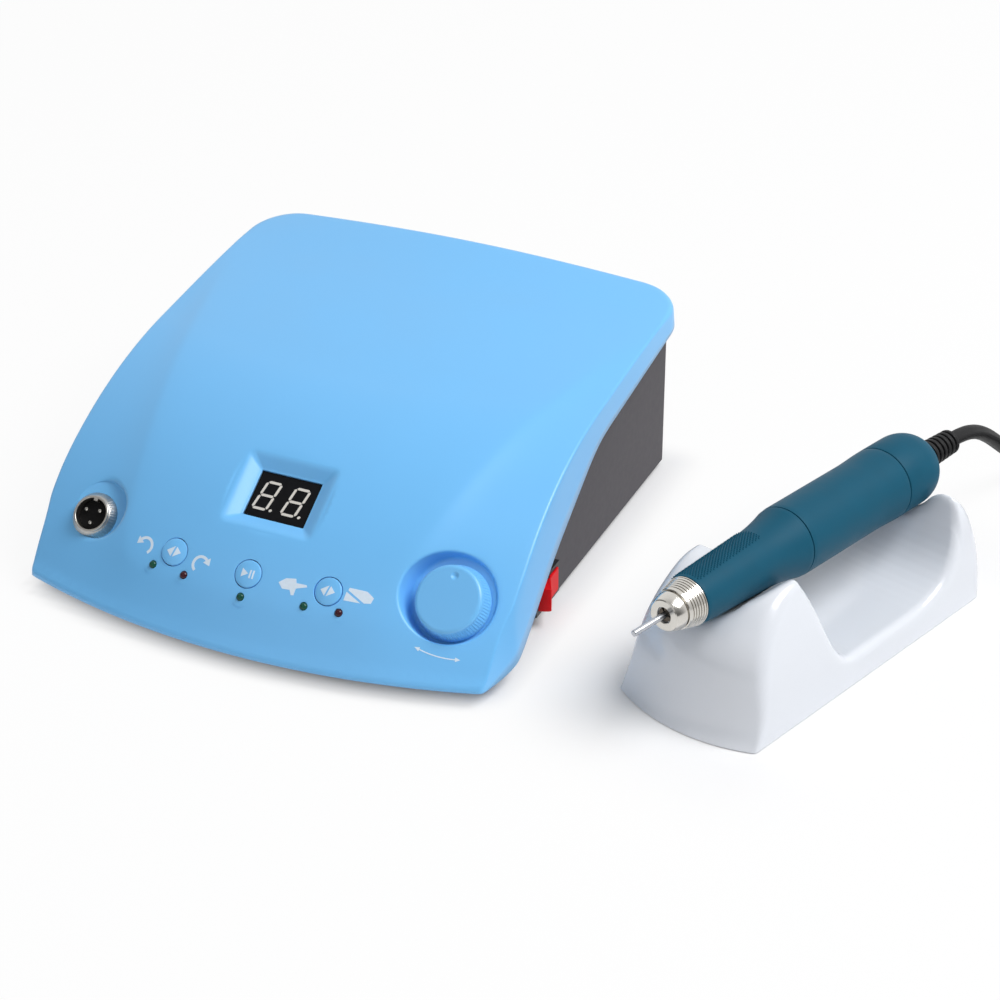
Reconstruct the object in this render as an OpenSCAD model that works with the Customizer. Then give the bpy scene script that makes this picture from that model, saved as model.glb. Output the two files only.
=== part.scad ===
// Dental micromotor: a control box, a handpiece with its cord, and the cradle that holds it.
// Millimetres, +Z up, +Y to the back. The origin is on the floor under the middle of the set.

/* [Control box] */
// Half width of the top shell at its lower edge
shell_half_w = 100; // [97:0.5:104]
// Half width between the two front corners
corner_half_w = 95; // [92:0.5:96]
// Depth of the cut front corners
corner_l = 21; // [18:0.5:24]
// Depth from the front corners to the back edge
shell_l = 197; // [194:0.5:205]
// How far the front edge bows forward
front_bow = 15.5; // [14:0.5:17]
// Height of the lower edge of the front lip
lip_z = 7; // [6.5:0.25:8]
// Height of the front lip
lip_h = 1.5; // [1:0.1:2]
// Radius of the rolled front
roll_r = 131; // [127:0.5:136]
// Slope of the shell at its front lip, degrees
front_slope = 58; // [57:0.25:59]
// Slope of the shell at its back, degrees
rear_slope = 5.5; // [4.5:0.25:6.5]
// Inward lean of the sides, degrees
side_lean = 4.8; // [4:0.1:5.5]
// Inward lean of the cut corners, degrees
corner_lean = 9.1; // [8:0.1:10]
// Radius of the rear corners of the shell
rear_corner_r = 18; // [14:0.5:20]
// Wall of the top shell
wall = 2.5; // [2.2:0.1:3]
// Height of the skirt where it turns from steep to gentle
skirt_bend_z = 56.5; // [54:0.5:58]
// Half width of the base case
case_half_w = 90; // [89:0.25:91]
// Back of the base case
case_rear_y = 190; // [188:0.5:191]
// Wall and floor of the base case
case_wall = 2.5; // [2:0.1:3]
// How far the case runs up behind the skirt
case_lap = 6; // [4:0.5:8]
// Height of the rubber feet
foot_h = 3; // [2.5:0.1:4]
// Radius of the rubber feet
foot_r = 7; // [6:0.25:9]

/* [Front panel] */
// Distance of the button row behind the front corners
panel_d = 2.4; // [2:0.1:3]
// Distance between neighbouring buttons
button_pitch = 32; // [31:0.25:33]
// Radius of a button
button_r = 5.2; // [4.6:0.1:5.6]
// How far a button stands proud
button_proud = 0.8; // [0.6:0.1:1.2]
// Travel of a button
button_travel = 0.5; // [0.3:0.05:0.7]
// Radius of an indicator lamp
led_r = 1.5; // [1.2:0.1:1.8]
// Width of the display
display_w = 25.1; // [24:0.1:26]
// Height of the display
display_h = 19; // [18:0.1:20]
// Depth of the display below the shell
display_sink = 3; // [2.5:0.1:3.5]
// Width of the display recess at the shell
recess_w = 37; // [36:0.25:38]
// Height of the display recess at the shell
recess_h = 30; // [29:0.25:31]
// Distance of the display behind the front corners
display_d = 27.9; // [27:0.1:29]

/* [Knob and socket] */
// Sideways place of the speed knob
knob_x = 75.3; // [74.5:0.1:76]
// Radius of the knob at its foot
knob_r = 14.3; // [13.5:0.1:15]
// Radius of the knob's flat top
knob_top_r = 11.6; // [11:0.1:12.2]
// Height of the knob
knob_h = 8.1; // [7.5:0.1:8.6]
// Radius of the knob's dish at its floor
knob_dish_r = 16.4; // [16:0.1:16.8]
// Depth of the knob's dish
knob_dish_depth = 6.2; // [5.5:0.1:6.8]
// Radius of the knob's shaft
shaft_r = 3; // [2.5:0.1:3.2]
// Sideways place of the motor socket
socket_x = 73.8; // [73:0.1:75]
// Radius of the motor socket at its foot
socket_r = 9.2; // [8.8:0.1:9.6]
// Radius of the motor socket at its rim
socket_tip_r = 6.9; // [6.7:0.1:7.2]
// Height of the motor socket above its dish
socket_h = 4.4; // [4:0.1:5]
// Radius of the socket's dish at its floor
socket_dish_r = 11.8; // [11.2:0.1:12.4]
// Depth of the socket's dish
socket_dish_depth = 3.4; // [3:0.1:4]

/* [Power switch] */
// Distance of the power switch behind the front corners
switch_y = 65.3; // [64:0.1:67]
// Height of the middle of the power switch
switch_z = 12.4; // [12.2:0.1:13]
// Radius of the rocker's ends about its pivot
rocker_r = 8.6; // [8.2:0.1:8.8]
// Width of the rocker
rocker_w = 10; // [9:0.1:10.4]
// Throw of the rocker to each side, degrees
rocker_throw = 14; // [10:0.5:15]

/* [Handpiece] */
// Radius of the nose face
nose_r = 5.9; // [5.6:0.1:6.1]
// Length of the silver nose collar
collar_l = 13.2; // [12.8:0.1:14]
// Radius of the grip sleeve at its front
sleeve_front_r = 9.5; // [9.4:0.05:9.9]
// Length of the grip sleeve
sleeve_l = 56.3; // [55:0.1:58]
// Radius of the motor case at its front, flush with the flared back of the grip sleeve
motor_r = 13.8; // [13.5:0.05:14.1]
// Length of the motor case
motor_l = 60.7; // [60:0.1:62]
// Radius of the rear cap
cap_r = 14.3; // [14.1:0.05:14.6]
// Length of the rear cap
cap_l = 25.9; // [25:0.1:28]
// Length of the cord boot outside the cap
boot_l = 21.1; // [19:0.1:23]
// Radius of the cord boot
boot_r = 5.3; // [5:0.1:5.6]
// Radius of the mandrel's shank
mandrel_r = 1.175; // [1.1:0.005:1.2]
// How far the mandrel stands out of the nose
mandrel_out = 16.5; // [14:0.5:20]

/* [Cradle] */
// Sideways place of the cradle
cradle_x = 163.9; // [162:0.1:168]
// Distance of the cradle behind the shell's front corners
cradle_y = 24.4; // [20:0.1:30]
// Turn of the cradle, degrees
cradle_turn = 16.7; // [14:0.1:18]
// Half width of the cradle at its front
cradle_half_w = 30.8; // [29:0.1:33]
// Length of the cradle
cradle_l = 138; // [137:0.5:142]
// Bow of the cradle's front
cradle_bow = 7.7; // [6:0.1:9]
// Height of the cradle's two rests
rest_z = 51; // [49.5:0.25:52]
// Height of the floor between the rests
gap_z = 12; // [11:0.25:14]
// Wall of the cradle
cradle_wall = 3; // [2.4:0.1:3.4]

/* [Hidden] */
$fn = 72;
far = 300;
seam = 0.3;
skin = 0.01;

// The shell's top is turned about an upright axis far behind its front
bow_r = (corner_half_w^2 + front_bow^2) / (2 * front_bow);
axis_y = bow_r - front_bow;
roll_y = roll_r * sin(front_slope) - front_bow;
roll_z = lip_z + lip_h - roll_r * cos(front_slope);
below = -5;
dome_in_r = axis_y - shell_l - 30;
dome_steps = 14;
corner_turn = atan((shell_half_w - corner_half_w) / corner_l);

// Height of the shell at distance d behind the middle of its front, and the place there at x
function shell_z(d) = roll_z + sqrt(roll_r^2 - (roll_y - d)^2);
function shell_y(x, d) = axis_y - sqrt((axis_y - d)^2 - x^2);
function tilt(d) = asin((roll_y - d) / roll_r);

// The front panel's frame stands on the shell at the middle button, square to it
panel_tilt = tilt(panel_d);
panel_z = shell_z(panel_d);
function to_panel(p) =
    let (y = p.y - panel_d, z = p.z - panel_z)
    [p.x, y * cos(panel_tilt) + z * sin(panel_tilt), z * cos(panel_tilt) - y * sin(panel_tilt)];
function on_shell(x, d) = to_panel([x, shell_y(x, d), shell_z(d)]);

lamp_d = -2.4;
middle_lamp_d = -3.6;
knob_d = 4.4;
socket_d = 3.4;
button_seats = [on_shell(-button_pitch, panel_d), [0, 0, 0], on_shell(button_pitch, panel_d)];
left_green_x = -39.5;
left_red_x = -25.5;
middle_green_x = -0.5;
right_green_x = 24.5;
right_red_x = 38;
green_seats = [on_shell(left_green_x, lamp_d), on_shell(middle_green_x, middle_lamp_d),
    on_shell(right_green_x, lamp_d)];
red_seats = [on_shell(left_red_x, lamp_d), on_shell(right_red_x, lamp_d)];
knob_seat = on_shell(knob_x, knob_d);
socket_seat = on_shell(-socket_x, socket_d);
socket_dish_shift = [1.4, 2.4];
knob_dish_shift = [-0.6, 1.2];

// Panel board, tact switches and lamps, as heights in the panel's frame
board_t = 1.6;
panel_board_z = -14;
panel_board_half_w = 49;
panel_board_back = 11;
panel_board_front = -13;
panel_post_x = 45.5;
panel_post_back = 7.5;
panel_post_front = -9.5;
post_r = 2.6;
pilot_r = 1.05;
small_screw_r = 1;
small_head_r = 1.9;
small_head_h = 1.3;
tact_w = 6;
tact_h = 3.5;
plunger_r = 1.75;
plunger_z = panel_board_z + tact_h + 0.7;
stem_r = 2;
stem_end_z = plunger_z + button_travel + 0.1;
button_gap = 0.15;
button_flange_r = button_r + 1;
button_flange_t = 1.2;
button_sleeve_l = 4.6;
button_sleeve_wall = 1.2;
lamp_gap = 0.05;
lamp_flange_r = led_r + 0.4;
lamp_proud = 1.1;
lamp_stem_l = 5;
lamp_flange_t = 1;
lamp_leg_r = 0.25;
lamp_leg_x = 0.8;

// Display
display_z = shell_z(display_d);
display_tilt = tilt(display_d);
display_body_t = 8;
display_gap = 0.15;
display_lens_t = 0.8;
display_board_w = 56;
display_board_h = 26;
display_post_x = 25;
display_post_y = 10;
display_board_z = -display_sink - display_body_t;
digit_x = 6.2;
digit_w = 6.6;
digit_h = 13;
segment_w = 1.5;
digit_lean = 10;

// Knob and potentiometer, as heights in the panel's frame
dish_taper = 0.16;
dish_reach = 9;
knob_floor_z = knob_seat.z - knob_dish_depth;
knob_foot_z = knob_floor_z + 0.5;
knob_bore_gap = 0.02;
knob_hollow_r = 8.5;
knob_hollow_h = 3.4;
shaft_in_knob = 6;
pot_r = 8.2;
pot_h = 8;
pot_top_z = knob_floor_z - wall;
bushing_r = 4;
bushing_gap = 0.05;
pot_nut_r = 6.5;
pot_nut_h = 2;

// Motor socket, as heights in the panel's frame
socket_floor_z = socket_seat.z - socket_dish_depth;
socket_foot_h = 0.8;
socket_lip_h = 0.7;
socket_wall = 0.7;
socket_bore_r = socket_tip_r - socket_wall;
socket_body_r = socket_bore_r + 1;
socket_body_l = 9;
insert_sink = 3;
insert_t = 6;
socket_pin_r = 0.75;
socket_pin_sink = 1;
socket_pin_circle = 3.3;
socket_pin_turn = 35;
socket_nut_r = 10;
socket_nut_h = 2.5;
key_w = 1.6;
key_reach = 0.9;
key_sink = 0.4;

// Skirt and base case
skirt_start_y = 20;
skirt_knee_y = 58;
skirt_knee_z = 33;
skirt_bend_y = 103;
skirt_slope = 7.3;
case_front_y = 10;
case_corner_r = 4;
case_floor_z = foot_h + case_wall;
foot_x = 74;
foot_front_y = 26;
front_post = [58, 47];
rear_post = [82, 177];
shell_post_r = 4;
case_screw_r = 1.5;
case_head_r = 2.8;
foot_clear = 1.5;
foot_rear_y = rear_post.y - case_head_r - foot_r - foot_clear;
case_head_h = 1.8;
case_screw_l = 14;
screw_gap = 0.15;

// Transformer
core_w = 57;
core_l = 30;
core_h = 48;
core_side_gap = 13.5;
core_x = core_side_gap + core_w / 2 - case_half_w;
core_y = 130;
winding_reach = 10;
window_w = 9.5;
strap_t = 1.2;
strap_w = 24;
strap_foot_l = 9;
boss_h = 6;
boss_r = 3.6;
boss_pilot_r = 1.4;
strap_screw_r = 1.35;
strap_head_r = 2.8;
strap_head_h = 2;

// Power board
power_gap = 17.5;
power_side_gap = 16;
power_x = core_x + core_w / 2 + power_gap;
power_y = 86;
power_w = case_half_w - power_side_gap - power_x;
power_l = 92;
board_inset = 5;
power_board_z = case_floor_z + boss_h;
power_top_z = power_board_z + board_t;
sink_w = 50;
sink_h = 34;
sink_t = 3;
fin_t = 1.5;
fin_l = 12;
fin_count = 6;
sink_y = 98;
transistor_w = 10;
transistor_t = 4.5;
transistor_h = 15;
transistor_lift = 6;
capacitor_r = 11;
capacitor_h = 32;
capacitor_gap = 4;
sink_to_capacitor = 38;
capacitor_y = sink_y + sink_to_capacitor;

// Power switch
bezel_l = 21;
bezel_h = 13.6;
bezel_t = 2;
switch_l = 19;
switch_h = 12.6;
switch_depth = 18;
pivot_sink = 1;
pivot_r = 1.2;
pivot_gap = 0.05;
rocker_gap = 0.2;
rocker_crown = 2;

// Back wall
inlet_x = -45;
inlet_z = 36;
inlet_w = 27;
inlet_h = 20;
inlet_flange_w = 50;
inlet_flange_h = 24;
inlet_flange_t = 3;
inlet_depth = 22;
inlet_wall = 2;
inlet_cavity_l = 18;
inlet_pin_x = 7;
inlet_pin_w = 2;
inlet_pin_h = 4;
inlet_pin_l = 14;
inlet_screw_x = 20;
fuse_x = 0;
fuse_z = 36;
fuse_r = 6;
fuse_head_r = 8;
fuse_head_l = 6;
fuse_depth = 30;
jack_x = 45;
jack_z = 40;
jack_bore_r = 3.25;
jack_thread_r = 4.5;
jack_body_r = 8;
jack_depth = 22;
jack_out = 4;
jack_nut_r = 7.5;
jack_nut_h = 2.2;

// Handpiece, as distances from the nose face towards the tail
nose_v = -15.7;
nose_z = 53.2;
tail_drop = 2.87;
sleeve_start = collar_l + seam;
sleeve_end = sleeve_start + sleeve_l;
motor_start = sleeve_end + seam;
motor_end = motor_start + motor_l;
cap_start = motor_end + seam;
cap_end = cap_start + cap_l;
boot_end = cap_end + boot_l;
sleeve_taper = 0.042;
sleeve_flare_l = 18.7;
housing_r = 8;
housing_bore_r = 6.4;
spigot_r = 7.2;
running_gap = 0.05;
fit_gap = 0.02;
collar_lap = 4.2;
collar_bore_r = 3.9;
collar_rear_r = sleeve_front_r - 0.2;
motor_bore_r = 11.6;
flange_t = 2.6;
release_r = 10.4;
release_l = 8;
release_travel = 1;
release_back = 15.9;
release_start = sleeve_end - release_back;
magnet_bore_r = 9.6;
magnet_front = 10;
magnet_rear = 10.6;
magnet_l = motor_l - magnet_front - magnet_rear;
rotor_r = 9.1;
rotor_end = 3;
rotor_l = magnet_l - 2 * rotor_end;
rotor_slots = 7;
end_turn_r = 8.2;
end_turn_l = 4;
rotor_shaft_r = 2.5;
commutator_r = 4.5;
commutator_l = 8;
brush_w = 4;
brush_plate_l = 14;
bearing_l = 5;
front_bearing_w = 20;
rear_bearing_r = 6.5;
spindle_nose_r = 3.75;
collet_r = 2.7;
collet_l = 18;
collet_slot = 0.7;
collet_in = 1.2;
collet_skin = 0.3;
mandrel_in = 16;
cap_wall = 2.4;
cap_floor = 11;
cap_dome_l = 12;
cap_rim = 0.7;
boot_ribs = 7;
boot_taper = 0.1;
boot_groove = 1;
boot_seat = 2;
boot_root = 12;
boot_neck_r = boot_r - 0.8;
boot_flange_r = boot_r + 1.5;
boot_flange_t = 3;
groove_w = 1;
groove_depth = 0.35;

magnet_start = motor_start + magnet_front;
rotor_start = magnet_start + rotor_end;
commutator_start = rotor_start + rotor_l + end_turn_l + 2;
brush_plate_start = motor_end - brush_plate_l + 8;
rear_bearing_w = brush_plate_start + brush_plate_l - bearing_l;

function sleeve_r(w) =
    let (s = w - sleeve_start, f = max(0, (w - sleeve_end + sleeve_flare_l) / sleeve_flare_l))
    sleeve_front_r + sleeve_taper * s + (motor_r - sleeve_front_r - sleeve_taper * sleeve_l) * f^2;

// A cubic curve between two points
function curve(a, b, c, d, n) = [for (i = [0 : n]) let (t = i / n, s = 1 - t)
    s^3 * a + 3 * s^2 * t * b + 3 * s * t^2 * c + t^3 * d];

// Cradle
cradle_lean = 0.25;
cradle_widening = 0.026;
front_lean = 0.577;
front_r = (cradle_half_w^2 + cradle_bow^2) / (2 * cradle_bow);
cradle_foot_h = 0.8;
cradle_foot_r = 4;
cradle_boss_r = 5;
cradle_side_foot = 6.5;
cradle_front_foot = 14;
cradle_rear_foot = 9;
rest_gap = 0.3;
scoop_front_v = 34;
scoop_low_v = 60;
scoop_to_rear = 43;
rear_top_in = 11;
scoop_rear_v = cradle_l - scoop_to_rear;
rear_top_v = cradle_l - rear_top_in;
rear_rest_z = rest_z - 2;
front_rest_r = sleeve_r((scoop_front_v - nose_v) + 3) + rest_gap;
rear_rest_r = cap_r + rest_gap;

// Middle of the set, which the origin stands under
cradle_rear_half_w = cradle_half_w + cradle_widening * cradle_l;
set_right = cradle_x + cradle_rear_half_w * cos(cradle_turn) + cradle_l * sin(cradle_turn);
set_mid = [(set_right - shell_half_w) / 2, (shell_l - front_bow) / 2];

// Cord: its free stretch as chosen points in the cradle's frame, then a coil that lies on the floor
cord_r = 3;
boot_gap = 0.2;
lead_points = [[0, 168, 44], [0, 176, 42.3], [0, 184, 38.8], [0, 192, 33.5], [0, 200, 27], [0, 208, 20.4],
    [0, 216, 14.4], [0, 224, 9.6], [0, 232, 6.3], [0, 240, 4.5], [0, 248, 4]];
coil_turns = 6.5;
coil_pitch = 6.45;
coil_mid_r = 34.5;
coil_rings = 24;
coil_z = 4;
coil_out_r = coil_mid_r + coil_pitch * coil_turns / 4;
coil_at = [coil_out_r, 254];
coil_run = 2 * cord_r;
tail_points = [[0, -7, 10.4], [0, -14, 10], [0, -21, 9.6], [0, -27, 9.4], [0, -33, 9.4]];
plug_relief_r = 4.4;
plug_relief_l = 10;
plug_body_r = 8.4;
plug_neck_r = 6.4;
plug_neck_at = 24;
plug_l = 38;
plug_ring_r = 9.3;
plug_ring_l = 17;
tie_t = 0.8;
tie_w = 6;
tie_gap = 0.2;

function coil_r(a) = coil_out_r - coil_pitch * (coil_turns / 2 - abs(a - coil_turns / 2));
function ease(t) = let (c = min(1, max(0, t))) c * c * (3 - 2 * c);
function coil_point(a) =
    let (turn = 180 - 360 * a, climb = ease((a - coil_turns / 2) * 2 + 0.5))
    [coil_at.x + coil_r(a) * cos(turn), coil_at.y + coil_r(a) * sin(turn), coil_z + coil_pitch * climb];
coil_end = coil_point(coil_turns);
coil_path = concat(
    [[0, coil_at.y - coil_run, coil_z]],
    [for (i = [0 : coil_turns * coil_rings]) coil_point(i / coil_rings)],
    [for (p = tail_points) [coil_end.x + p.x, coil_end.y + p.y, p.z]]);
plug_at = coil_path[len(coil_path) - 1];
nose_point = [0, nose_v, nose_z];
tail_way = [0, cos(tail_drop), -sin(tail_drop)];
lead_path = concat([nose_point + (boot_end + boot_gap) * tail_way], lead_points);

// Least gap between turns of the coil that are not neighbours along the cord
coil_reach = 8;
coil_gap = min([for (i = [0 : len(coil_path) - 1]) for (j = [i + coil_reach : 1 : len(coil_path) - 1])
    norm(coil_path[i] - coil_path[j])]) - 2 * cord_r;
echo(coil_gap = coil_gap);

// Frames

module in_set() {
    translate([-set_mid.x, -set_mid.y, 0]) children();
}

module on_panel() {
    translate([0, panel_d, panel_z]) rotate([panel_tilt, 0, 0]) children();
}

module on_display() {
    translate([0, display_d, display_z]) rotate([display_tilt, 0, 0]) children();
}

module on_back(x, z) {
    translate([x, case_rear_y, z]) rotate([-90, 0, 0]) children();
}

module on_right_wall() {
    translate([case_half_w, switch_y, switch_z]) rotate([90, 0, 90]) children();
}

module in_cradle() {
    translate([cradle_x, cradle_y, 0]) rotate([0, 0, -cradle_turn]) children();
}

module in_handpiece() {
    in_cradle() translate(nose_point) rotate([-90 - tail_drop, 0, 0]) children();
}

module both_sides() {
    children();
    mirror([1, 0, 0]) children();
}

// Shared shapes

module tube(r, bore_r, l) {
    difference() {
        cylinder(h = l, r = r);
        translate([0, 0, -1]) cylinder(h = l + 2, r = bore_r);
    }
}

module screw(r, l, head_r, head_h) {
    translate([0, 0, -l]) cylinder(h = l + skin, r = r, $fn = 24);
    cylinder(h = head_h, r = head_r, $fn = 32);
}

module rounded_plate(w, l, r) {
    square([w - 2 * r, l], center = true);
    square([w, l - 2 * r], center = true);
    for (x = [-1, 1], y = [-1, 1]) translate([x * (w / 2 - r), y * (l / 2 - r)]) circle(r = r);
}

// A four-sided tapered block: size a at height 0, size b at height h, carried on to height top
module tapered_block(a, b, h, top) {
    grow = (b - a) / h;
    end = a + grow * top;
    intersection() {
        rotate([90, 0, 0]) linear_extrude(height = far, center = true)
            polygon([[-a.x / 2, 0], [a.x / 2, 0], [end.x / 2, top], [-end.x / 2, top]]);
        rotate([90, 0, 90]) linear_extrude(height = far, center = true)
            polygon([[-a.y / 2, 0], [a.y / 2, 0], [end.y / 2, top], [-end.y / 2, top]]);
    }
}

// A tube swept along a path, with flat ends
module swept_tube(path, r, sides) {
    last = len(path) - 1;
    rings = [for (i = [0 : last])
        let (way = path[min(i + 1, last)] - path[max(i - 1, 0)], t = way / norm(way))
        let (s = cross(t, [0, 0, 1]), side = s / norm(s), up = cross(side, t))
        for (k = [0 : sides - 1]) path[i] + r * (side * cos(360 * k / sides) + up * sin(360 * k / sides))];
    walls = [for (i = [0 : last - 1], k = [0 : sides - 1])
        let (a = i * sides + k, b = i * sides + (k + 1) % sides)
        each [[a, a + sides, b], [b, a + sides, b + sides]]];
    starts = [for (k = [1 : sides - 2]) [0, k, k + 1]];
    ends = [for (k = [1 : sides - 2]) [last * sides, last * sides + k + 1, last * sides + k]];
    polyhedron(points = rings, faces = concat(walls, starts, ends));
}

// Control box

module dome(t) {
    roll_c = axis_y - roll_y;
    arc_r = roll_r - t;
    arc = [for (i = [0 : dome_steps]) let (a = front_slope + (rear_slope - front_slope) * i / dome_steps)
        [roll_c + arc_r * sin(a), roll_z + arc_r * cos(a)]];
    end = arc[dome_steps];
    translate([0, axis_y, 0]) rotate_extrude($fn = 180)
        polygon(concat([[dome_in_r, below], [arc[0].x, below]], arc,
            [[dome_in_r, end.y + (end.x - dome_in_r) * tan(rear_slope)]]));
}

// The room inside the shell's outside, drawn in by t
module shell_space(t) {
    difference() {
        intersection() {
            dome(t);
            translate([-shell_half_w - 1, -front_bow - 1, below])
                cube([2 * shell_half_w + 2, shell_l + front_bow + 1 - t, far]);
        }
        both_sides() {
            translate([shell_half_w, 0, lip_z]) rotate([0, -side_lean, 0])
                translate([-t, -far / 2, -far / 2]) cube([far, 2 * far, far]);
            translate([corner_half_w, 0, lip_z]) rotate([0, -corner_lean, -corner_turn])
                translate([-t, -far / 4, -far / 2]) cube([far, far, far]);
            translate([shell_half_w - rear_corner_r, shell_l - rear_corner_r, lip_z]) rotate([0, -side_lean, 0])
                difference() {
                    translate([0, 0, -far / 2]) cube([far, far, far]);
                    translate([0, 0, -far]) cylinder(h = 2 * far, r = rear_corner_r - t);
                }
        }
    }
}

// Outline of the skirt's lower edge in Y and Z, raised by lift
function skirt_line(lift) = [
    [skirt_start_y, lip_z + lift],
    [skirt_knee_y, skirt_knee_z + lift],
    [skirt_bend_y, skirt_bend_z + lift],
    [shell_l + 30, skirt_bend_z + (shell_l + 30 - skirt_bend_y) * tan(skirt_slope) + lift]];

module across(width) {
    rotate([90, 0, 90]) linear_extrude(height = width, center = true) children();
}

module below_skirt(lift) {
    across(2 * far) polygon(concat([[-far, below - 20], [-far, lip_z + lift]], skirt_line(lift),
        [[shell_l + 30, below - 20]]));
}

module dish_room(at, r, depth, t) {
    h = depth + dish_reach;
    translate([at.x, at.y, at.z - depth - t]) cylinder(h = h + t, r1 = r + t, r2 = r + t + dish_taper * (h + t));
}

module shell_posts(bore, top) {
    for (at = [front_post, rear_post]) both_sides()
        translate([at.x, at.y, case_floor_z]) cylinder(h = top, r = bore);
}

module panel_posts(r, h) {
    for (x = [-1, 1], y = [panel_post_front, panel_post_back])
        translate([x * panel_post_x, y, panel_board_z]) cylinder(h = h, r = r, $fn = 32);
}

module display_posts(r, h) {
    for (x = [-1, 1], y = [-1, 1])
        translate([x * display_post_x, y * display_post_y, display_board_z]) cylinder(h = h, r = r, $fn = 32);
}

socket_dish_at = socket_seat + [socket_dish_shift.x, socket_dish_shift.y, 0];
knob_dish_at = knob_seat + [knob_dish_shift.x, knob_dish_shift.y, 0];
display_face = [display_w + 2 * display_gap, display_h + 2 * display_gap];
recess_floor = display_face + [1, 1];

module recess_room(t) {
    translate([0, 0, -display_sink - t])
        tapered_block(recess_floor + [2 * t, 2 * t], [recess_w, recess_h] + [2 * t, 2 * t],
            display_sink + t, display_sink + t + 2);
}

module shell_solids() {
    difference() {
        shell_space(0);
        shell_space(wall);
        below_skirt(0);
    }
    intersection() {
        shell_space(0);
        union() {
            on_panel() {
                dish_room(knob_dish_at, knob_dish_r, knob_dish_depth, wall);
                dish_room(socket_dish_at, socket_dish_r, socket_dish_depth, wall);
                for (at = button_seats) translate([at.x, at.y, at.z - button_sleeve_l])
                    cylinder(h = 2 * button_sleeve_l, r = button_r + button_gap + button_sleeve_wall);
                panel_posts(post_r, far / 10);
            }
            on_display() {
                recess_room(wall);
                display_posts(post_r, far / 12);
            }
            shell_posts(shell_post_r, far / 3);
        }
    }
}

module top_shell() {
    color("#74b9f2") in_set() difference() {
        shell_solids();
        on_panel() {
            dish_room(knob_dish_at, knob_dish_r, knob_dish_depth, 0);
            dish_room(socket_dish_at, socket_dish_r, socket_dish_depth, 0);
            for (at = button_seats) translate([at.x, at.y, at.z - 2 * button_sleeve_l])
                cylinder(h = 4 * button_sleeve_l, r = button_r + button_gap);
            for (at = concat(green_seats, red_seats)) translate([at.x, at.y, at.z - 3 * wall])
                cylinder(h = 6 * wall, r = led_r + lamp_gap, $fn = 32);
            translate([knob_seat.x, knob_seat.y, knob_floor_z - 2 * wall])
                cylinder(h = 4 * wall, r = bushing_r + bushing_gap);
            translate([socket_seat.x, socket_seat.y, socket_floor_z - 2 * wall])
                cylinder(h = 4 * wall, r = socket_body_r + bushing_gap);
            translate([0, 0, -skin]) panel_posts(pilot_r, 6);
        }
        on_display() {
            recess_room(0);
            translate([-display_face.x / 2, -display_face.y / 2, -display_sink - 2 * wall])
                cube([display_face.x, display_face.y, 3 * wall]);
            translate([0, 0, -skin]) display_posts(pilot_r, 5);
        }
        translate([0, 0, -skin]) shell_posts(case_screw_r + skin, case_screw_l);
    }
}

module case_outline(t) {
    translate([0, (case_front_y + case_rear_y) / 2])
        rounded_plate(2 * (case_half_w - t), case_rear_y - case_front_y - 2 * t, case_corner_r);
}

module boss(x, y) {
    translate([x, y, case_floor_z - skin]) cylinder(h = boss_h + skin, r = boss_r, $fn = 48);
}

function board_corners() = [for (x = [power_x + board_inset, power_x + power_w - board_inset])
    for (y = [power_y + board_inset, power_y + power_l - board_inset]) [x, y]];
function strap_feet() = [for (s = [-1, 1]) [core_x + s * (core_w / 2 + strap_t + strap_foot_l / 2), core_y]];

module base_case() {
    color("#5a575c") in_set() difference() {
        union() {
            intersection() {
                difference() {
                    translate([0, 0, foot_h]) linear_extrude(height = far / 2) case_outline(0);
                    translate([0, 0, case_floor_z]) linear_extrude(height = far) case_outline(case_wall);
                }
                below_skirt(case_lap);
                dome(wall + seam);
            }
            for (p = concat(board_corners(), strap_feet())) boss(p.x, p.y);
        }
        for (p = board_corners()) translate([p.x, p.y, case_floor_z]) cylinder(h = far, r = pilot_r, $fn = 32);
        for (p = strap_feet()) translate([p.x, p.y, case_floor_z]) cylinder(h = far, r = boss_pilot_r, $fn = 32);
        for (at = [front_post, rear_post]) both_sides() translate([at.x, at.y, 0])
            cylinder(h = far / 10, r = case_screw_r + screw_gap, $fn = 32);
        on_right_wall() cube([switch_l + 2 * screw_gap, switch_h + 2 * screw_gap, 4 * case_wall], center = true);
        on_back(inlet_x, inlet_z) {
            cube([inlet_w + 2 * screw_gap, inlet_h + 2 * screw_gap, 4 * case_wall], center = true);
            for (s = [-1, 1]) translate([s * inlet_screw_x, 0, -2 * case_wall])
                cylinder(h = 4 * case_wall, r = pilot_r, $fn = 32);
        }
        on_back(fuse_x, fuse_z) cylinder(h = 4 * case_wall, r = fuse_r + screw_gap, center = true);
        on_back(jack_x, jack_z) cylinder(h = 4 * case_wall, r = jack_thread_r + screw_gap, center = true);
    }
}

module rubber_feet() {
    color("#2b2b2d") in_set() for (x = [-foot_x, foot_x], y = [foot_front_y, foot_rear_y])
        translate([x, y, 0]) cylinder(h = foot_h, r = foot_r);
}

module case_screws() {
    color("silver") in_set() for (at = [front_post, rear_post]) both_sides()
        translate([at.x, at.y, foot_h]) mirror([0, 0, 1])
            screw(case_screw_r, case_screw_l, case_head_r, case_head_h);
}

// Inside the box

module transformer_core() {
    color("#6d6a66") in_set() translate([core_x, core_y, case_floor_z]) difference() {
        translate([-core_w / 2, -core_l / 2, 0]) cube([core_w, core_l, core_h]);
        for (s = [-1, 1]) translate([s * core_w / 4 - window_w / 2, -core_l, window_w])
            cube([window_w, 2 * core_l, core_h - 2 * window_w]);
    }
}

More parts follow.
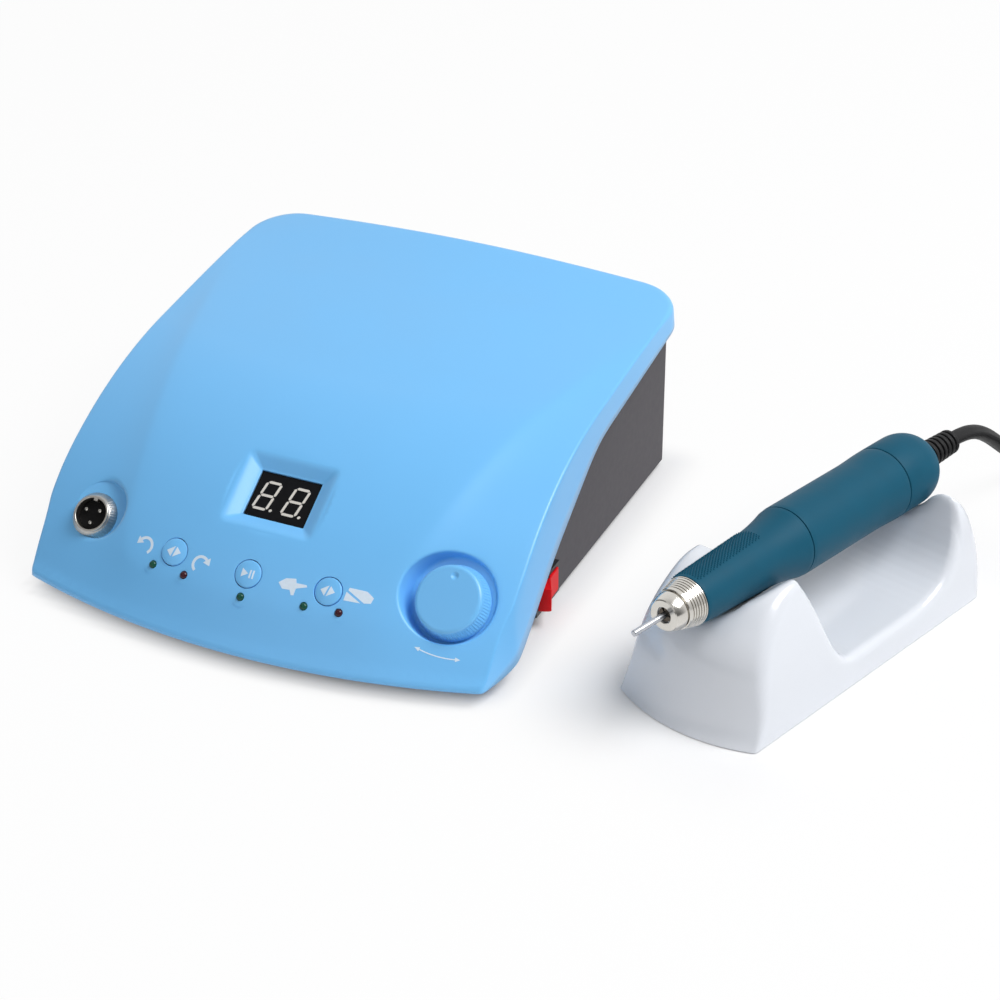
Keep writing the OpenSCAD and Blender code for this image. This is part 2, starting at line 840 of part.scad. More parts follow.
module transformer_winding() {
    half_w = core_w / 4 + window_w / 2 - seam;
    limb = core_w / 4 - window_w / 2 + seam;
    color("#b5713a") in_set() translate([core_x, core_y, case_floor_z + window_w + seam])
        linear_extrude(height = core_h - 2 * window_w - 2 * seam) difference() {
            rounded_plate(2 * half_w, core_l + 2 * winding_reach, 4);
            square([2 * limb, core_l + 2 * seam], center = true);
        }
}

module transformer_strap() {
    top = case_floor_z + core_h;
    foot = case_floor_z + boss_h;
    color("#a8aab0") in_set() translate([core_x, core_y, 0]) difference() {
        union() {
            translate([-core_w / 2 - strap_t, -strap_w / 2, top]) cube([core_w + 2 * strap_t, strap_w, strap_t]);
            both_sides() {
                translate([core_w / 2, -strap_w / 2, foot]) cube([strap_t, strap_w, top - foot + strap_t]);
                translate([core_w / 2, -strap_w / 2, foot])
                    cube([strap_t + strap_foot_l, strap_w, strap_t]);
            }
        }
        both_sides() translate([core_w / 2 + strap_t + strap_foot_l / 2, 0, 0])
            cylinder(h = far, r = strap_screw_r + screw_gap, $fn = 32);
    }
}

module strap_screws() {
    color("silver") in_set() for (p = strap_feet())
        translate([p.x, p.y, case_floor_z + boss_h + strap_t]) screw(strap_screw_r, boss_h, strap_head_r, strap_head_h);
}

module power_board() {
    color("#2f6b3c") in_set() difference() {
        translate([power_x, power_y, power_board_z]) cube([power_w, power_l, board_t]);
        for (p = board_corners()) translate([p.x, p.y, 0])
            cylinder(h = far, r = small_screw_r + screw_gap, $fn = 32);
    }
}

module board_screw(l) {
    screw(small_screw_r, l, small_head_r, small_head_h);
}

module board_screws() {
    color("silver") in_set() {
        for (p = board_corners()) translate([p.x, p.y, power_top_z]) board_screw(boss_h);
        on_panel() for (x = [-1, 1], y = [panel_post_front, panel_post_back])
            translate([x * panel_post_x, y, panel_board_z - board_t]) mirror([0, 0, 1]) board_screw(board_t + 4);
        on_display() for (x = [-1, 1], y = [-1, 1])
            translate([x * display_post_x, y * display_post_y, display_board_z - board_t]) mirror([0, 0, 1])
                board_screw(board_t + 4);
    }
}

module heat_sink() {
    x0 = power_x + (power_w - sink_w) / 2;
    color("#8f949b") in_set() {
        translate([x0, sink_y, power_top_z]) cube([sink_w, sink_t, sink_h]);
        for (i = [0 : fin_count - 1])
            translate([x0 + i * (sink_w - fin_t) / (fin_count - 1), sink_y + sink_t - skin, power_top_z])
                cube([fin_t, fin_l, sink_h]);
    }
}

module power_transistors() {
    color("#2a2a2c") in_set() for (s = [-1, 1])
        translate([power_x + power_w / 2 + s * sink_w / 4, sink_y, power_top_z]) {
            translate([-transistor_w / 2, -transistor_t, transistor_lift])
                cube([transistor_w, transistor_t, transistor_h]);
            for (k = [-1, 0, 1]) translate([k * 2.54 - 0.4, -transistor_t / 2, 0])
                cube([0.8, 0.8, transistor_lift + 1]);
        }
}

module filter_capacitors() {
    color("#23344a") in_set() for (s = [-1, 1])
        translate([power_x + power_w / 2 + s * (capacitor_r + capacitor_gap / 2), capacitor_y, power_top_z])
            cylinder(h = capacitor_h, r = capacitor_r);
}

module panel_board() {
    color("#2f6b3c") in_set() on_panel() difference() {
        translate([-panel_board_half_w, panel_board_front, panel_board_z - board_t])
            cube([2 * panel_board_half_w, panel_board_back - panel_board_front, board_t]);
        for (x = [-1, 1], y = [panel_post_front, panel_post_back])
            translate([x * panel_post_x, y, panel_board_z - 2 * board_t])
                cylinder(h = 4 * board_t, r = small_screw_r + screw_gap, $fn = 32);
    }
}

module display_board() {
    color("#2f6b3c") in_set() on_display() difference() {
        translate([-display_board_w / 2, -display_board_h / 2, display_board_z - board_t])
            cube([display_board_w, display_board_h, board_t]);
        for (x = [-1, 1], y = [-1, 1])
            translate([x * display_post_x, y * display_post_y, display_board_z - 2 * board_t])
                cylinder(h = 4 * board_t, r = small_screw_r + screw_gap, $fn = 32);
    }
}

module display_body() {
    color("#17171a") in_set() on_display() translate([-display_w / 2, -display_h / 2, display_board_z])
        cube([display_w, display_h, display_body_t - display_lens_t]);
}

// One figure eight of seven bars and its point
module digit() {
    half = digit_h / 2 - segment_w / 2;
    long = half - segment_w;
    multmatrix([[1, tan(digit_lean), 0, 0], [0, 1, 0, 0], [0, 0, 1, 0], [0, 0, 0, 1]]) {
        for (y = [-half, 0, half]) translate([0, y]) square([digit_w - 2.4 * segment_w, segment_w], center = true);
        for (x = [-1, 1], y = [-1, 1]) translate([x * (digit_w - segment_w) / 2, y * (half / 2)])
            square([segment_w, long], center = true);
    }
}

module display_segments() {
    color("#d9d4cc") in_set() on_display() translate([0, 0, -display_sink - display_lens_t])
        linear_extrude(height = display_lens_t / 2) for (x = [-digit_x, digit_x]) {
            translate([x - 0.5, 0]) digit();
            translate([x + digit_w / 2 + 0.4, -digit_h / 2 + segment_w / 2]) circle(r = segment_w / 2, $fn = 24);
        }
}

module tact_switches() {
    color("#1f1f21") in_set() on_panel() for (at = button_seats) translate([at.x, at.y, panel_board_z]) {
        translate([-tact_w / 2, -tact_w / 2, 0]) cube([tact_w, tact_w, tact_h]);
        cylinder(h = plunger_z - panel_board_z, r = plunger_r, $fn = 32);
    }
}

module lamp(at) {
    translate([at.x, at.y, 0]) {
        translate([0, 0, at.z + lamp_proud - led_r]) sphere(r = led_r, $fn = 48);
        translate([0, 0, at.z - lamp_stem_l]) cylinder(h = lamp_stem_l + lamp_proud - led_r, r = led_r, $fn = 48);
        translate([0, 0, at.z - lamp_stem_l - lamp_flange_t])
            cylinder(h = lamp_flange_t, r = lamp_flange_r, $fn = 48);
        for (s = [-1, 1]) translate([s * lamp_leg_x, 0, panel_board_z])
            cylinder(h = at.z - lamp_stem_l - lamp_flange_t / 2 - panel_board_z, r = lamp_leg_r, $fn = 16);
    }
}

module green_lamps() {
    color("#12604a") in_set() on_panel() for (at = green_seats) lamp(at);
}

module red_lamps() {
    color("#5c1622") in_set() on_panel() for (at = red_seats) lamp(at);
}

module potentiometer_body() {
    color("#8b8d92") in_set() on_panel() translate([knob_seat.x, knob_seat.y, 0]) difference() {
        union() {
            translate([0, 0, pot_top_z - pot_h]) cylinder(h = pot_h, r = pot_r);
            translate([0, 0, pot_top_z - skin]) cylinder(h = wall + pot_nut_h + 0.6, r = bushing_r);
        }
        translate([0, 0, pot_top_z - pot_h + 2]) cylinder(h = far, r = shaft_r + running_gap);
    }
}

module potentiometer_nut() {
    color("silver") in_set() on_panel() translate([knob_seat.x, knob_seat.y, knob_floor_z]) difference() {
        cylinder(h = pot_nut_h, r = pot_nut_r, $fn = 6);
        translate([0, 0, -1]) cylinder(h = pot_nut_h + 2, r = bushing_r + fit_gap);
    }
}

module knob_shaft() {
    color("silver") in_set() on_panel()
        translate([knob_seat.x, knob_seat.y, pot_top_z - pot_h + 2 + running_gap])
            cylinder(h = knob_foot_z + shaft_in_knob - pot_top_z + pot_h - 2 - running_gap, r = shaft_r);
}

module speed_knob() {
    edge = 0.8;
    foot = 1;
    color("#74b9f2") in_set() on_panel() translate([knob_seat.x, knob_seat.y, knob_foot_z]) difference() {
        rotate_extrude() polygon([[0, 0], [knob_r - edge, 0], [knob_r, edge], [knob_r, foot],
            [knob_top_r + edge, knob_h - edge / 2], [knob_top_r, knob_h], [0, knob_h]]);
        translate([0, 0, -1]) cylinder(h = knob_hollow_h + 1, r = knob_hollow_r);
        translate([0, 0, -1]) cylinder(h = shaft_in_knob + 1 + knob_bore_gap, r = shaft_r + knob_bore_gap);
        translate([0, knob_top_r - 2.2, knob_h + 0.6]) sphere(r = 1.5, $fn = 32);
    }
}

module button(at) {
    translate([at.x, at.y, 0]) {
        intersection() {
            translate([0, 0, at.z - button_sleeve_l]) cylinder(h = far / 10, r = button_r);
            translate([0, 0, at.z + button_proud - 4 * button_r]) sphere(r = 4 * button_r, $fn = 160);
        }
        translate([0, 0, at.z - button_sleeve_l - button_flange_t - 0.2])
            cylinder(h = button_flange_t, r = button_flange_r);
        translate([0, 0, at.z - button_sleeve_l - 0.3]) cylinder(h = 0.4, r = button_r);
        translate([0, 0, stem_end_z])
            cylinder(h = at.z - button_sleeve_l - button_flange_t - stem_end_z, r = stem_r, $fn = 32);
    }
}

module direction_button() {
    color("#74b9f2") in_set() on_panel() button(button_seats[0]);
}

module start_button() {
    color("#74b9f2") in_set() on_panel() button(button_seats[1]);
}

module control_button() {
    color("#74b9f2") in_set() on_panel() button(button_seats[2]);
}

module socket_shell() {
    color("#c9ccd0") in_set() on_panel() translate([socket_seat.x, socket_seat.y, socket_floor_z]) {
        difference() {
            union() {
                cylinder(h = socket_foot_h, r = socket_r);
                translate([0, 0, socket_foot_h])
                    cylinder(h = socket_h - socket_foot_h - socket_lip_h, r1 = socket_r, r2 = socket_tip_r);
                translate([0, 0, socket_h - socket_lip_h]) cylinder(h = socket_lip_h, r = socket_tip_r);
                translate([0, 0, -socket_body_l]) cylinder(h = socket_body_l + skin, r = socket_body_r);
            }
            translate([0, 0, socket_h - insert_sink - insert_t]) cylinder(h = far, r = socket_bore_r);
        }
        translate([-key_w / 2, socket_bore_r - key_reach, socket_h - insert_sink + key_sink])
            cube([key_w, key_reach + socket_wall / 2, insert_sink - 2 * key_sink]);
    }
}

module socket_pin_places() {
    for (i = [0 : 2]) rotate(socket_pin_turn + 120 * i) translate([socket_pin_circle, 0, 0]) children();
}

module socket_insert() {
    color("#1d1d1f") in_set() on_panel()
        translate([socket_seat.x, socket_seat.y, socket_floor_z + socket_h - insert_sink - insert_t]) difference() {
            cylinder(h = insert_t, r = socket_bore_r - fit_gap);
            socket_pin_places() translate([0, 0, -1])
                cylinder(h = insert_t + 2, r = socket_pin_r + fit_gap, $fn = 32);
        }
}

module socket_pins() {
    tip = socket_h - socket_pin_sink;
    foot = socket_h - insert_sink - insert_t;
    color("#c9ccd0") in_set() on_panel() translate([socket_seat.x, socket_seat.y, socket_floor_z + foot])
        socket_pin_places() cylinder(h = tip - foot, r = socket_pin_r, $fn = 32);
}

module socket_nut() {
    color("#c9ccd0") in_set() on_panel()
        translate([socket_seat.x, socket_seat.y, socket_floor_z - wall - socket_nut_h]) difference() {
            cylinder(h = socket_nut_h, r = socket_nut_r, $fn = 6);
            translate([0, 0, -1]) cylinder(h = socket_nut_h + 2, r = socket_body_r + fit_gap);
        }
}

// In the switch's frame the first axis runs to the back, the second up and the third out of the wall
module switch_body() {
    mouth = rocker_r + rocker_gap;
    color("#4a484c") in_set() on_right_wall() {
        difference() {
            union() {
                translate([0, 0, bezel_t / 2]) cube([bezel_l, bezel_h, bezel_t], center = true);
                translate([0, 0, -switch_depth / 2 + skin]) cube([switch_l, switch_h, switch_depth], center = true);
            }
            translate([0, 0, bezel_t - pivot_sink]) rotate([90, 0, 0])
                cylinder(h = rocker_w + 2 * rocker_gap, r = mouth, center = true);
        }
        translate([0, 0, bezel_t - pivot_sink]) rotate([90, 0, 0])
            cylinder(h = rocker_w + 4 * rocker_gap, r = pivot_r, center = true, $fn = 32);
    }
}

module power_rocker() {
    rise = rocker_r * tan(rocker_throw * 0.85);
    color("#d21f2a") in_set() on_right_wall() translate([0, 0, bezel_t - pivot_sink])
        rotate([90, rocker_throw, 0]) linear_extrude(height = rocker_w, center = true) difference() {
            intersection() {
                circle(r = rocker_r);
                polygon([[-rocker_r, -rocker_r / 2], [rocker_r, -rocker_r / 2], [rocker_r, rocker_crown + rise],
                    [0, rocker_crown], [-rocker_r, rocker_crown + rise]]);
            }
            circle(r = pivot_r + pivot_gap, $fn = 32);
        }
}

module mains_inlet() {
    color("#222224") in_set() on_back(inlet_x, inlet_z) difference() {
        union() {
            linear_extrude(height = inlet_flange_t) rounded_plate(inlet_flange_w, inlet_flange_h, 5);
            translate([0, 0, -inlet_depth / 2 + skin]) cube([inlet_w, inlet_h, inlet_depth], center = true);
        }
        translate([0, 0, inlet_flange_t - inlet_cavity_l]) linear_extrude(height = far)
            rounded_plate(inlet_w - 2 * inlet_wall, inlet_h - 2 * inlet_wall, 2);
        for (s = [-1, 1]) translate([s * inlet_screw_x, 0, -1])
            cylinder(h = 3 * inlet_flange_t, r = small_screw_r + screw_gap, $fn = 32);
    }
}

module inlet_pins() {
    color("#d9c48a") in_set() on_back(inlet_x, inlet_z) for (s = [-1, 0, 1])
        translate([s * inlet_pin_x, s == 0 ? -3.5 : -0.5, inlet_flange_t - inlet_cavity_l + inlet_pin_l / 2])
            cube([inlet_pin_w, inlet_pin_h, inlet_pin_l], center = true);
}

module inlet_screws() {
    color("silver") in_set() on_back(inlet_x, inlet_z) for (s = [-1, 1])
        translate([s * inlet_screw_x, 0, inlet_flange_t])
            screw(small_screw_r, inlet_flange_t + case_wall + 2, small_head_r, small_head_h);
}

module fuse_holder() {
    color("#1f1f21") in_set() on_back(fuse_x, fuse_z) difference() {
        union() {
            cylinder(h = fuse_head_l, r = fuse_head_r);
            translate([0, 0, -fuse_depth]) cylinder(h = fuse_depth + skin, r = fuse_r);
        }
        translate([0, 0, fuse_head_l]) cube([fuse_head_r, 1.4, 2.4], center = true);
    }
}

module foot_jack() {
    color("#2a2a2c") in_set() on_back(jack_x, jack_z) difference() {
        union() {
            translate([0, 0, -jack_depth - case_wall]) cylinder(h = jack_depth, r = jack_body_r);
            translate([0, 0, -case_wall - skin]) cylinder(h = case_wall + jack_out, r = jack_thread_r);
        }
        translate([0, 0, -jack_depth + 2]) cylinder(h = far, r = jack_bore_r);
    }
}

module foot_jack_nut() {
    color("silver") in_set() on_back(jack_x, jack_z) difference() {
        cylinder(h = jack_nut_h, r = jack_nut_r, $fn = 6);
        translate([0, 0, -1]) cylinder(h = jack_nut_h + 2, r = jack_thread_r + fit_gap);
    }
}

// Cradle

// Side view of the cradle in its length and height, drawn in by t
function cradle_side(t) = concat(
    [[-far / 4, rest_z - t]],
    curve([scoop_front_v - t, rest_z - t], [scoop_front_v + 9 - t, rest_z - 16], [scoop_low_v - 16 - t, gap_z - t],
        [scoop_low_v, gap_z - t], 10),
    curve([scoop_rear_v, gap_z - t], [scoop_rear_v + 17, gap_z - t], [rear_top_v - 2, gap_z + 12 - t],
        [rear_top_v, rear_rest_z - 4 - t], 10),
    [[rear_top_v + 1.5, rear_rest_z - t]],
    curve([cradle_l - 7, rear_rest_z - 3 - t], [cradle_l - 1 - t, rear_rest_z - 18], [cradle_l + 1 - t, 12],
        [cradle_l - t, 0], 10),
    [[cradle_l - t, below], [-far / 4, below]]);

module cradle_form(t) {
    difference() {
        intersection() {
            across(far) polygon(cradle_side(t));
            union() {
                translate([0, front_r - cradle_bow, 0]) rotate_extrude($fn = 120) polygon([[0, below],
                    [front_r - t - below * front_lean, below], [front_r - t - far / 4 * front_lean, far / 4],
                    [0, far / 4]]);
                translate([-far / 2, front_r - cradle_bow, below]) cube([far, far, far]);
            }
        }
        both_sides() translate([cradle_half_w, 0, 0])
            rotate([0, -atan(cradle_lean), -atan(cradle_widening)])
                translate([-t, -far / 2, -far / 2]) cube([far, 2 * far, far]);
    }
}

// Room for the handpiece: a round bed with upright walls above it
module bed(r, from, to) {
    intersection() {
        translate([-far / 2, from, 0]) cube([far, to - from, far]);
        translate(nose_point) rotate([-90 - tail_drop, 0, 0]) {
            cylinder(h = far, r = r);
            translate([-r, -far, 0]) cube([2 * r, far, far]);
        }
    }
}

module handpiece_beds(t) {
    bed(front_rest_r + t, -far / 4, scoop_low_v);
    bed(rear_rest_r + t, scoop_rear_v, cradle_l + far / 4);
}

function cradle_corners() = [for (s = [-1, 1]) for (v = [cradle_front_foot, cradle_l - cradle_rear_foot])
    [s * (cradle_half_w + cradle_widening * v - cradle_side_foot), v]];

module cradle_shell() {
    color("#eef1f4") in_set() in_cradle() difference() {
        union() {
            difference() {
                cradle_form(0);
                difference() {
                    cradle_form(cradle_wall);
                    handpiece_beds(cradle_wall);
                    translate([-far / 2, rear_top_v - 14, gap_z - cradle_wall]) cube([far, far, far]);
                }
            }
            intersection() {
                cradle_form(cradle_wall / 2);
                for (p = cradle_corners()) translate([p.x, p.y, 0]) cylinder(h = gap_z - 1, r = cradle_boss_r);
            }
        }
        handpiece_beds(0);
        translate([-far / 2, -far / 2, -far + cradle_foot_h]) cube([far, 2 * far, far]);
    }
}

module cradle_feet() {
    color("#d6dade") in_set() in_cradle() for (p = cradle_corners())
        translate([p.x, p.y, 0]) cylinder(h = cradle_foot_h, r = cradle_foot_r, $fn = 48);
}

// Handpiece

module motor_case() {
    color("#2c667c") in_set() in_handpiece() difference() {
        translate([0, 0, motor_start]) cylinder(h = motor_l, r1 = motor_r, r2 = cap_r);
        translate([0, 0, motor_start - 1]) cylinder(h = motor_l + 2, r = motor_bore_r);
    }
}

module rear_cap() {
    end_r = boot_r + cap_rim;
    dome = [for (i = [0 : 10])
        [end_r + (cap_r - end_r) * cos(9 * i), cap_end - cap_dome_l * (1 - sin(9 * i))]];
    color("#2c667c") in_set() in_handpiece() difference() {
        rotate_extrude() polygon(concat([[0, cap_start], [cap_r, cap_start]], dome, [[0, cap_end]]));
        translate([0, 0, cap_start - 1]) cylinder(h = cap_l - cap_floor + 1, r = cap_r - cap_wall);
        translate([0, 0, cap_start]) cylinder(h = far, r = boot_neck_r + fit_gap);
        translate([0, 0, cap_end - boot_seat]) cylinder(h = 2 * boot_seat, r = boot_r + fit_gap);
    }
}

module cord_boot() {
    rib_l = boot_l / (2 * boot_ribs);
    color("#1c1c1e") in_set() in_handpiece() {
        translate([0, 0, cap_end - boot_seat]) cylinder(h = boot_l + boot_seat, r = boot_r - boot_groove);
        translate([0, 0, cap_end - boot_seat]) cylinder(h = boot_seat + rib_l, r = boot_r);
        translate([0, 0, cap_end - boot_root]) cylinder(h = boot_root - boot_seat, r = boot_neck_r);
        translate([0, 0, cap_end - cap_floor - boot_flange_t]) cylinder(h = boot_flange_t, r = boot_flange_r);
        for (i = [1 : boot_ribs - 1]) translate([0, 0, cap_end + 2 * i * rib_l])
            cylinder(h = rib_l, r = boot_r - boot_taper * i);
    }
}

module magnet_ring() {
    color("#3c3a38") in_set() in_handpiece() translate([0, 0, magnet_start])
        tube(motor_bore_r - fit_gap, magnet_bore_r, magnet_l);
}

module brush_plate() {
    inner = brush_plate_start + brush_plate_l - bearing_l - 1.5;
    color("#2a2a2c") in_set() in_handpiece() difference() {
        translate([0, 0, brush_plate_start]) cylinder(h = brush_plate_l, r = motor_bore_r - fit_gap);
        translate([0, 0, brush_plate_start - 1]) cylinder(h = inner - brush_plate_start + 1, r = commutator_r + 1);
        for (s = [-1, 1]) translate([s * far / 2, 0, commutator_start + commutator_l / 2])
            cube([far, brush_w + 2 * fit_gap, brush_w + 2 * fit_gap], center = true);
        translate([0, 0, rear_bearing_w]) cylinder(h = far, r = rear_bearing_r + fit_gap);
        translate([0, 0, inner - 1]) cylinder(h = far, r = rotor_shaft_r + 1);
    }
}

module carbon_brushes() {
    reach = motor_bore_r - 0.4 - commutator_r - running_gap;
    color("#161616") in_set() in_handpiece() for (s = [-1, 1])
        translate([s * (commutator_r + running_gap + reach / 2), 0, commutator_start + commutator_l / 2])
            cube([reach, brush_w, brush_w], center = true);
}

module bearings() {
    color("#b9bcc2") in_set() in_handpiece() {
        translate([0, 0, front_bearing_w])
            tube(housing_bore_r - fit_gap, spindle_nose_r + running_gap, bearing_l);
        translate([0, 0, rear_bearing_w]) tube(rear_bearing_r, rotor_shaft_r + running_gap, bearing_l);
    }
}

module front_housing() {
    from = collar_l - collar_lap;
    color("#aeb2b8") in_set() in_handpiece() difference() {
        union() {
            translate([0, 0, from]) cylinder(h = collar_lap + seam, r = spigot_r);
            translate([0, 0, collar_l + seam / 2]) cylinder(h = motor_start - collar_l, r = housing_r);
            translate([0, 0, motor_start]) cylinder(h = flange_t, r = motor_bore_r - fit_gap);
        }
        translate([0, 0, from - 1]) cylinder(h = far, r = housing_bore_r);
    }
}

module nose_collar() {
    groove_at = 4.6;
    slope = (collar_rear_r - nose_r) / collar_l;
    rings = [for (i = [0 : 4]) let (w = 6.6 + i * 1.3)
        each [[nose_r + slope * w, w], [nose_r + slope * w - groove_depth, w + 0.2],
            [nose_r + slope * w - groove_depth, w + 0.5], [nose_r + slope * (w + 0.7), w + 0.7]]];
    color("#c9ccd0") in_set() in_handpiece() difference() {
        rotate_extrude() polygon(concat([[0, 0], [nose_r - 0.6, 0], [nose_r, 0.5],
            [nose_r + slope * groove_at, groove_at], [nose_r + slope * groove_at - 2 * groove_depth, groove_at + 0.3],
            [nose_r + slope * groove_at - 2 * groove_depth, groove_at + groove_w]], rings,
            [[collar_rear_r, collar_l], [0, collar_l]]));
        translate([0, 0, -1]) cylinder(h = far, r = collar_bore_r);
        translate([0, 0, collar_l - collar_lap]) cylinder(h = far, r = spigot_r + fit_gap);
    }
}

module grip_sleeve() {
    steps = 16;
    room_start = release_start - release_travel - 1;
    color("#2c667c") in_set() in_handpiece() difference() {
        rotate_extrude() polygon(concat([[0, sleeve_start]],
            [for (i = [0 : steps]) let (w = sleeve_start + i * sleeve_l / steps) [sleeve_r(w), w]],
            [[0, sleeve_end]]));
        translate([0, 0, sleeve_start - 1]) cylinder(h = sleeve_l + 2, r = housing_r + running_gap);
        translate([0, 0, room_start]) cylinder(h = release_l + 2 * release_travel + 2, r = release_r + seam);
    }
}

module release_ring() {
    color("#b9bcc2") in_set() in_handpiece() translate([0, 0, release_start])
        tube(release_r, housing_r + running_gap, release_l);
}

module spindle() {
    nose_end = front_bearing_w + bearing_l + 3;
    tail = rear_bearing_w + bearing_l;
    color("#c3c6cb") in_set() in_handpiece() difference() {
        union() {
            translate([0, 0, 1]) cylinder(h = nose_end - 1, r = spindle_nose_r);
            translate([0, 0, nose_end - skin]) cylinder(h = tail - nose_end, r = rotor_shaft_r);
        }
        cylinder(h = collet_l + 2, r = collet_r + fit_gap);
    }
}

module rotor() {
    slot_w = 2;
    color("#8a5a3a") in_set() in_handpiece() difference() {
        union() {
            translate([0, 0, rotor_start]) cylinder(h = rotor_l, r = rotor_r);
            translate([0, 0, rotor_start - end_turn_l]) cylinder(h = rotor_l + 2 * end_turn_l, r = end_turn_r);
            translate([0, 0, rotor_start + rotor_l]) cylinder(h = commutator_start + commutator_l - rotor_start
                - rotor_l, r = commutator_r);
        }
        translate([0, 0, rotor_start - end_turn_l - 1]) cylinder(h = far, r = rotor_shaft_r + fit_gap);
        for (i = [0 : rotor_slots - 1]) rotate(i * 360 / rotor_slots)
            translate([rotor_r, 0, rotor_start + rotor_l / 2])
                cube([2 * (rotor_r - end_turn_r), slot_w, 2 * rotor_l], center = true);
    }
}

module collet() {
    color("#9a9da3") in_set() in_handpiece() {
        difference() {
            translate([0, 0, collet_in]) cylinder(h = collet_l, r = collet_r);
            for (a = [90, 210, 330]) rotate(a)
                translate([mandrel_r + collet_skin, -collet_slot / 2, collet_in - collet_l / 3])
                    cube([collet_r, collet_slot, collet_l]);
        }
        translate([0, 0, -mandrel_out]) cylinder(h = mandrel_out + mandrel_in, r = mandrel_r);
    }
}

// Cord

module cord_lead() {
    color("#1c1c1e") in_set() in_cradle() swept_tube(lead_path, cord_r, 8);
}

module cord_coil() {
    color("#1c1c1e") in_set() in_cradle() swept_tube(coil_path, cord_r, 6);
}

// A strap round the turns on the near side of the coil
module cord_tie() {
    inner = coil_r(coil_turns / 2 - 0.5) - cord_r - tie_gap;
    outer = coil_r(0.75) + cord_r + tie_gap;
    top = coil_z + coil_pitch + cord_r + tie_gap;
    color("#2a2a2c") in_set() in_cradle()
        translate([coil_at.x, coil_at.y - (inner + outer) / 2, (top + tie_t) / 2]) rotate([90, 0, 90])
            linear_extrude(height = tie_w, center = true) difference() {
                rounded_plate(outer - inner + 2 * tie_t, top + tie_t, 2 + tie_t);
                rounded_plate(outer - inner, top - tie_t, 2);
            }
}

module at_plug() {
    in_set() in_cradle() translate(plug_at) rotate([90, 0, 0]) children();
}

module plug_body() {
    color("#b9bcc2") at_plug() difference() {
        rotate_extrude() polygon([[0, 0], [plug_relief_r, 0], [plug_relief_r + 0.8, plug_relief_l],
            [plug_body_r, plug_relief_l + 2], [plug_body_r, plug_neck_at], [plug_neck_r, plug_neck_at],
            [plug_neck_r, plug_l], [0, plug_l]]);
        translate([0, 0, plug_neck_at + 4]) cylinder(h = far, r = plug_neck_r - 1);
    }
}

module plug_ring() {
    edge = 0.6;
    color("#c9ccd0") at_plug() translate([0, 0, plug_neck_at + seam]) difference() {
        rotate_extrude() polygon([[0, 0], [plug_ring_r - edge, 0], [plug_ring_r, edge],
            [plug_ring_r, plug_ring_l - edge], [plug_ring_r - edge, plug_ring_l], [0, plug_ring_l]]);
        translate([0, 0, -1]) cylinder(h = far, r = plug_neck_r + running_gap);
        translate([0, 0, plug_ring_l / 3]) cylinder(h = far, r = socket_tip_r + running_gap);
    }
}

top_shell();
base_case();
rubber_feet();
case_screws();
transformer_core();
transformer_winding();
transformer_strap();
strap_screws();
power_board();
board_screws();
heat_sink();
power_transistors();
filter_capacitors();
panel_board();
display_board();
display_body();
display_segments();
tact_switches();
green_lamps();
red_lamps();
potentiometer_body();
potentiometer_nut();
knob_shaft();
speed_knob();
direction_button();
start_button();
control_button();
socket_shell();
socket_insert();
socket_pins();
socket_nut();
switch_body();
power_rocker();
mains_inlet();
inlet_pins();
inlet_screws();
fuse_holder();
foot_jack();
foot_jack_nut();
cradle_shell();
cradle_feet();
motor_case();
rear_cap();
cord_boot();
magnet_ring();
brush_plate();
carbon_brushes();
bearings();
front_housing();
nose_collar();
grip_sleeve();
release_ring();
spindle();
rotor();
collet();
cord_lead();
cord_coil();
cord_tie();
plug_body();
plug_ring();
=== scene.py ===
"""Dental micromotor: dresses the packed solids of a control box, its handpiece and its cradle."""

import math

import bmesh
import bpy
import numpy as np
from mathutils import Matrix, Vector, geometry


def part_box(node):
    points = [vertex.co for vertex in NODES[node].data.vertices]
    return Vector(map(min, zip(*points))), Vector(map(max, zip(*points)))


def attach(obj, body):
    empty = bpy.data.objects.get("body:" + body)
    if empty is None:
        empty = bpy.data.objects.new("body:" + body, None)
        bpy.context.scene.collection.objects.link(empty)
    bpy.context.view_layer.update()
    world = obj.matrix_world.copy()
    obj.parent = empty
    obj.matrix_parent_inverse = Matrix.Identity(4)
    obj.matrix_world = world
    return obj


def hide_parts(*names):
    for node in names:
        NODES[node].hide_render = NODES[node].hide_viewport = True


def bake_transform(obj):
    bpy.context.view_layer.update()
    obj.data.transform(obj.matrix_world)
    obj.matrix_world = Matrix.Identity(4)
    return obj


bl_info = {
    "name": "Dental Micromotor",
    "version": (1, 0, 0),
    "blender": (4, 5, 0),
    "location": "View3D > Sidebar > Micromotor",
    "description": "Dresses the packed solids of a dental micromotor and sets its stage",
    "category": "Object",
}

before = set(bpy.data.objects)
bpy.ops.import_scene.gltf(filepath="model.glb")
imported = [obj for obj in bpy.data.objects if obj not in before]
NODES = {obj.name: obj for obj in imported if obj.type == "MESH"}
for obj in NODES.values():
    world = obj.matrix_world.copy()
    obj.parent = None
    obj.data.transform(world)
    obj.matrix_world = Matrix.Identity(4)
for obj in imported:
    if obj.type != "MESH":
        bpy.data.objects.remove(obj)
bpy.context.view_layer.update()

MM = 0.001

# Sizes of the packed solids that the pieces have to meet, in millimetres
SHELL_HALF_W = 100
CORNER_HALF_W = 95
CORNER_L = 21
SHELL_L = 197
FRONT_BOW = 15.5
LIP_Z = 7
LIP_H = 1.5
ROLL_R = 131
FRONT_SLOPE = math.radians(58)
REAR_SLOPE = math.radians(5.5)
SIDE_LEAN = math.tan(math.radians(4.8))
CORNER_LEAN = math.tan(math.radians(9.1))
REAR_CORNER_R = 18
SKIRT_Y = (-40, 20, 58, 103, 240)
SKIRT_Z = (7, 7, 33, 56.5, 74.05)

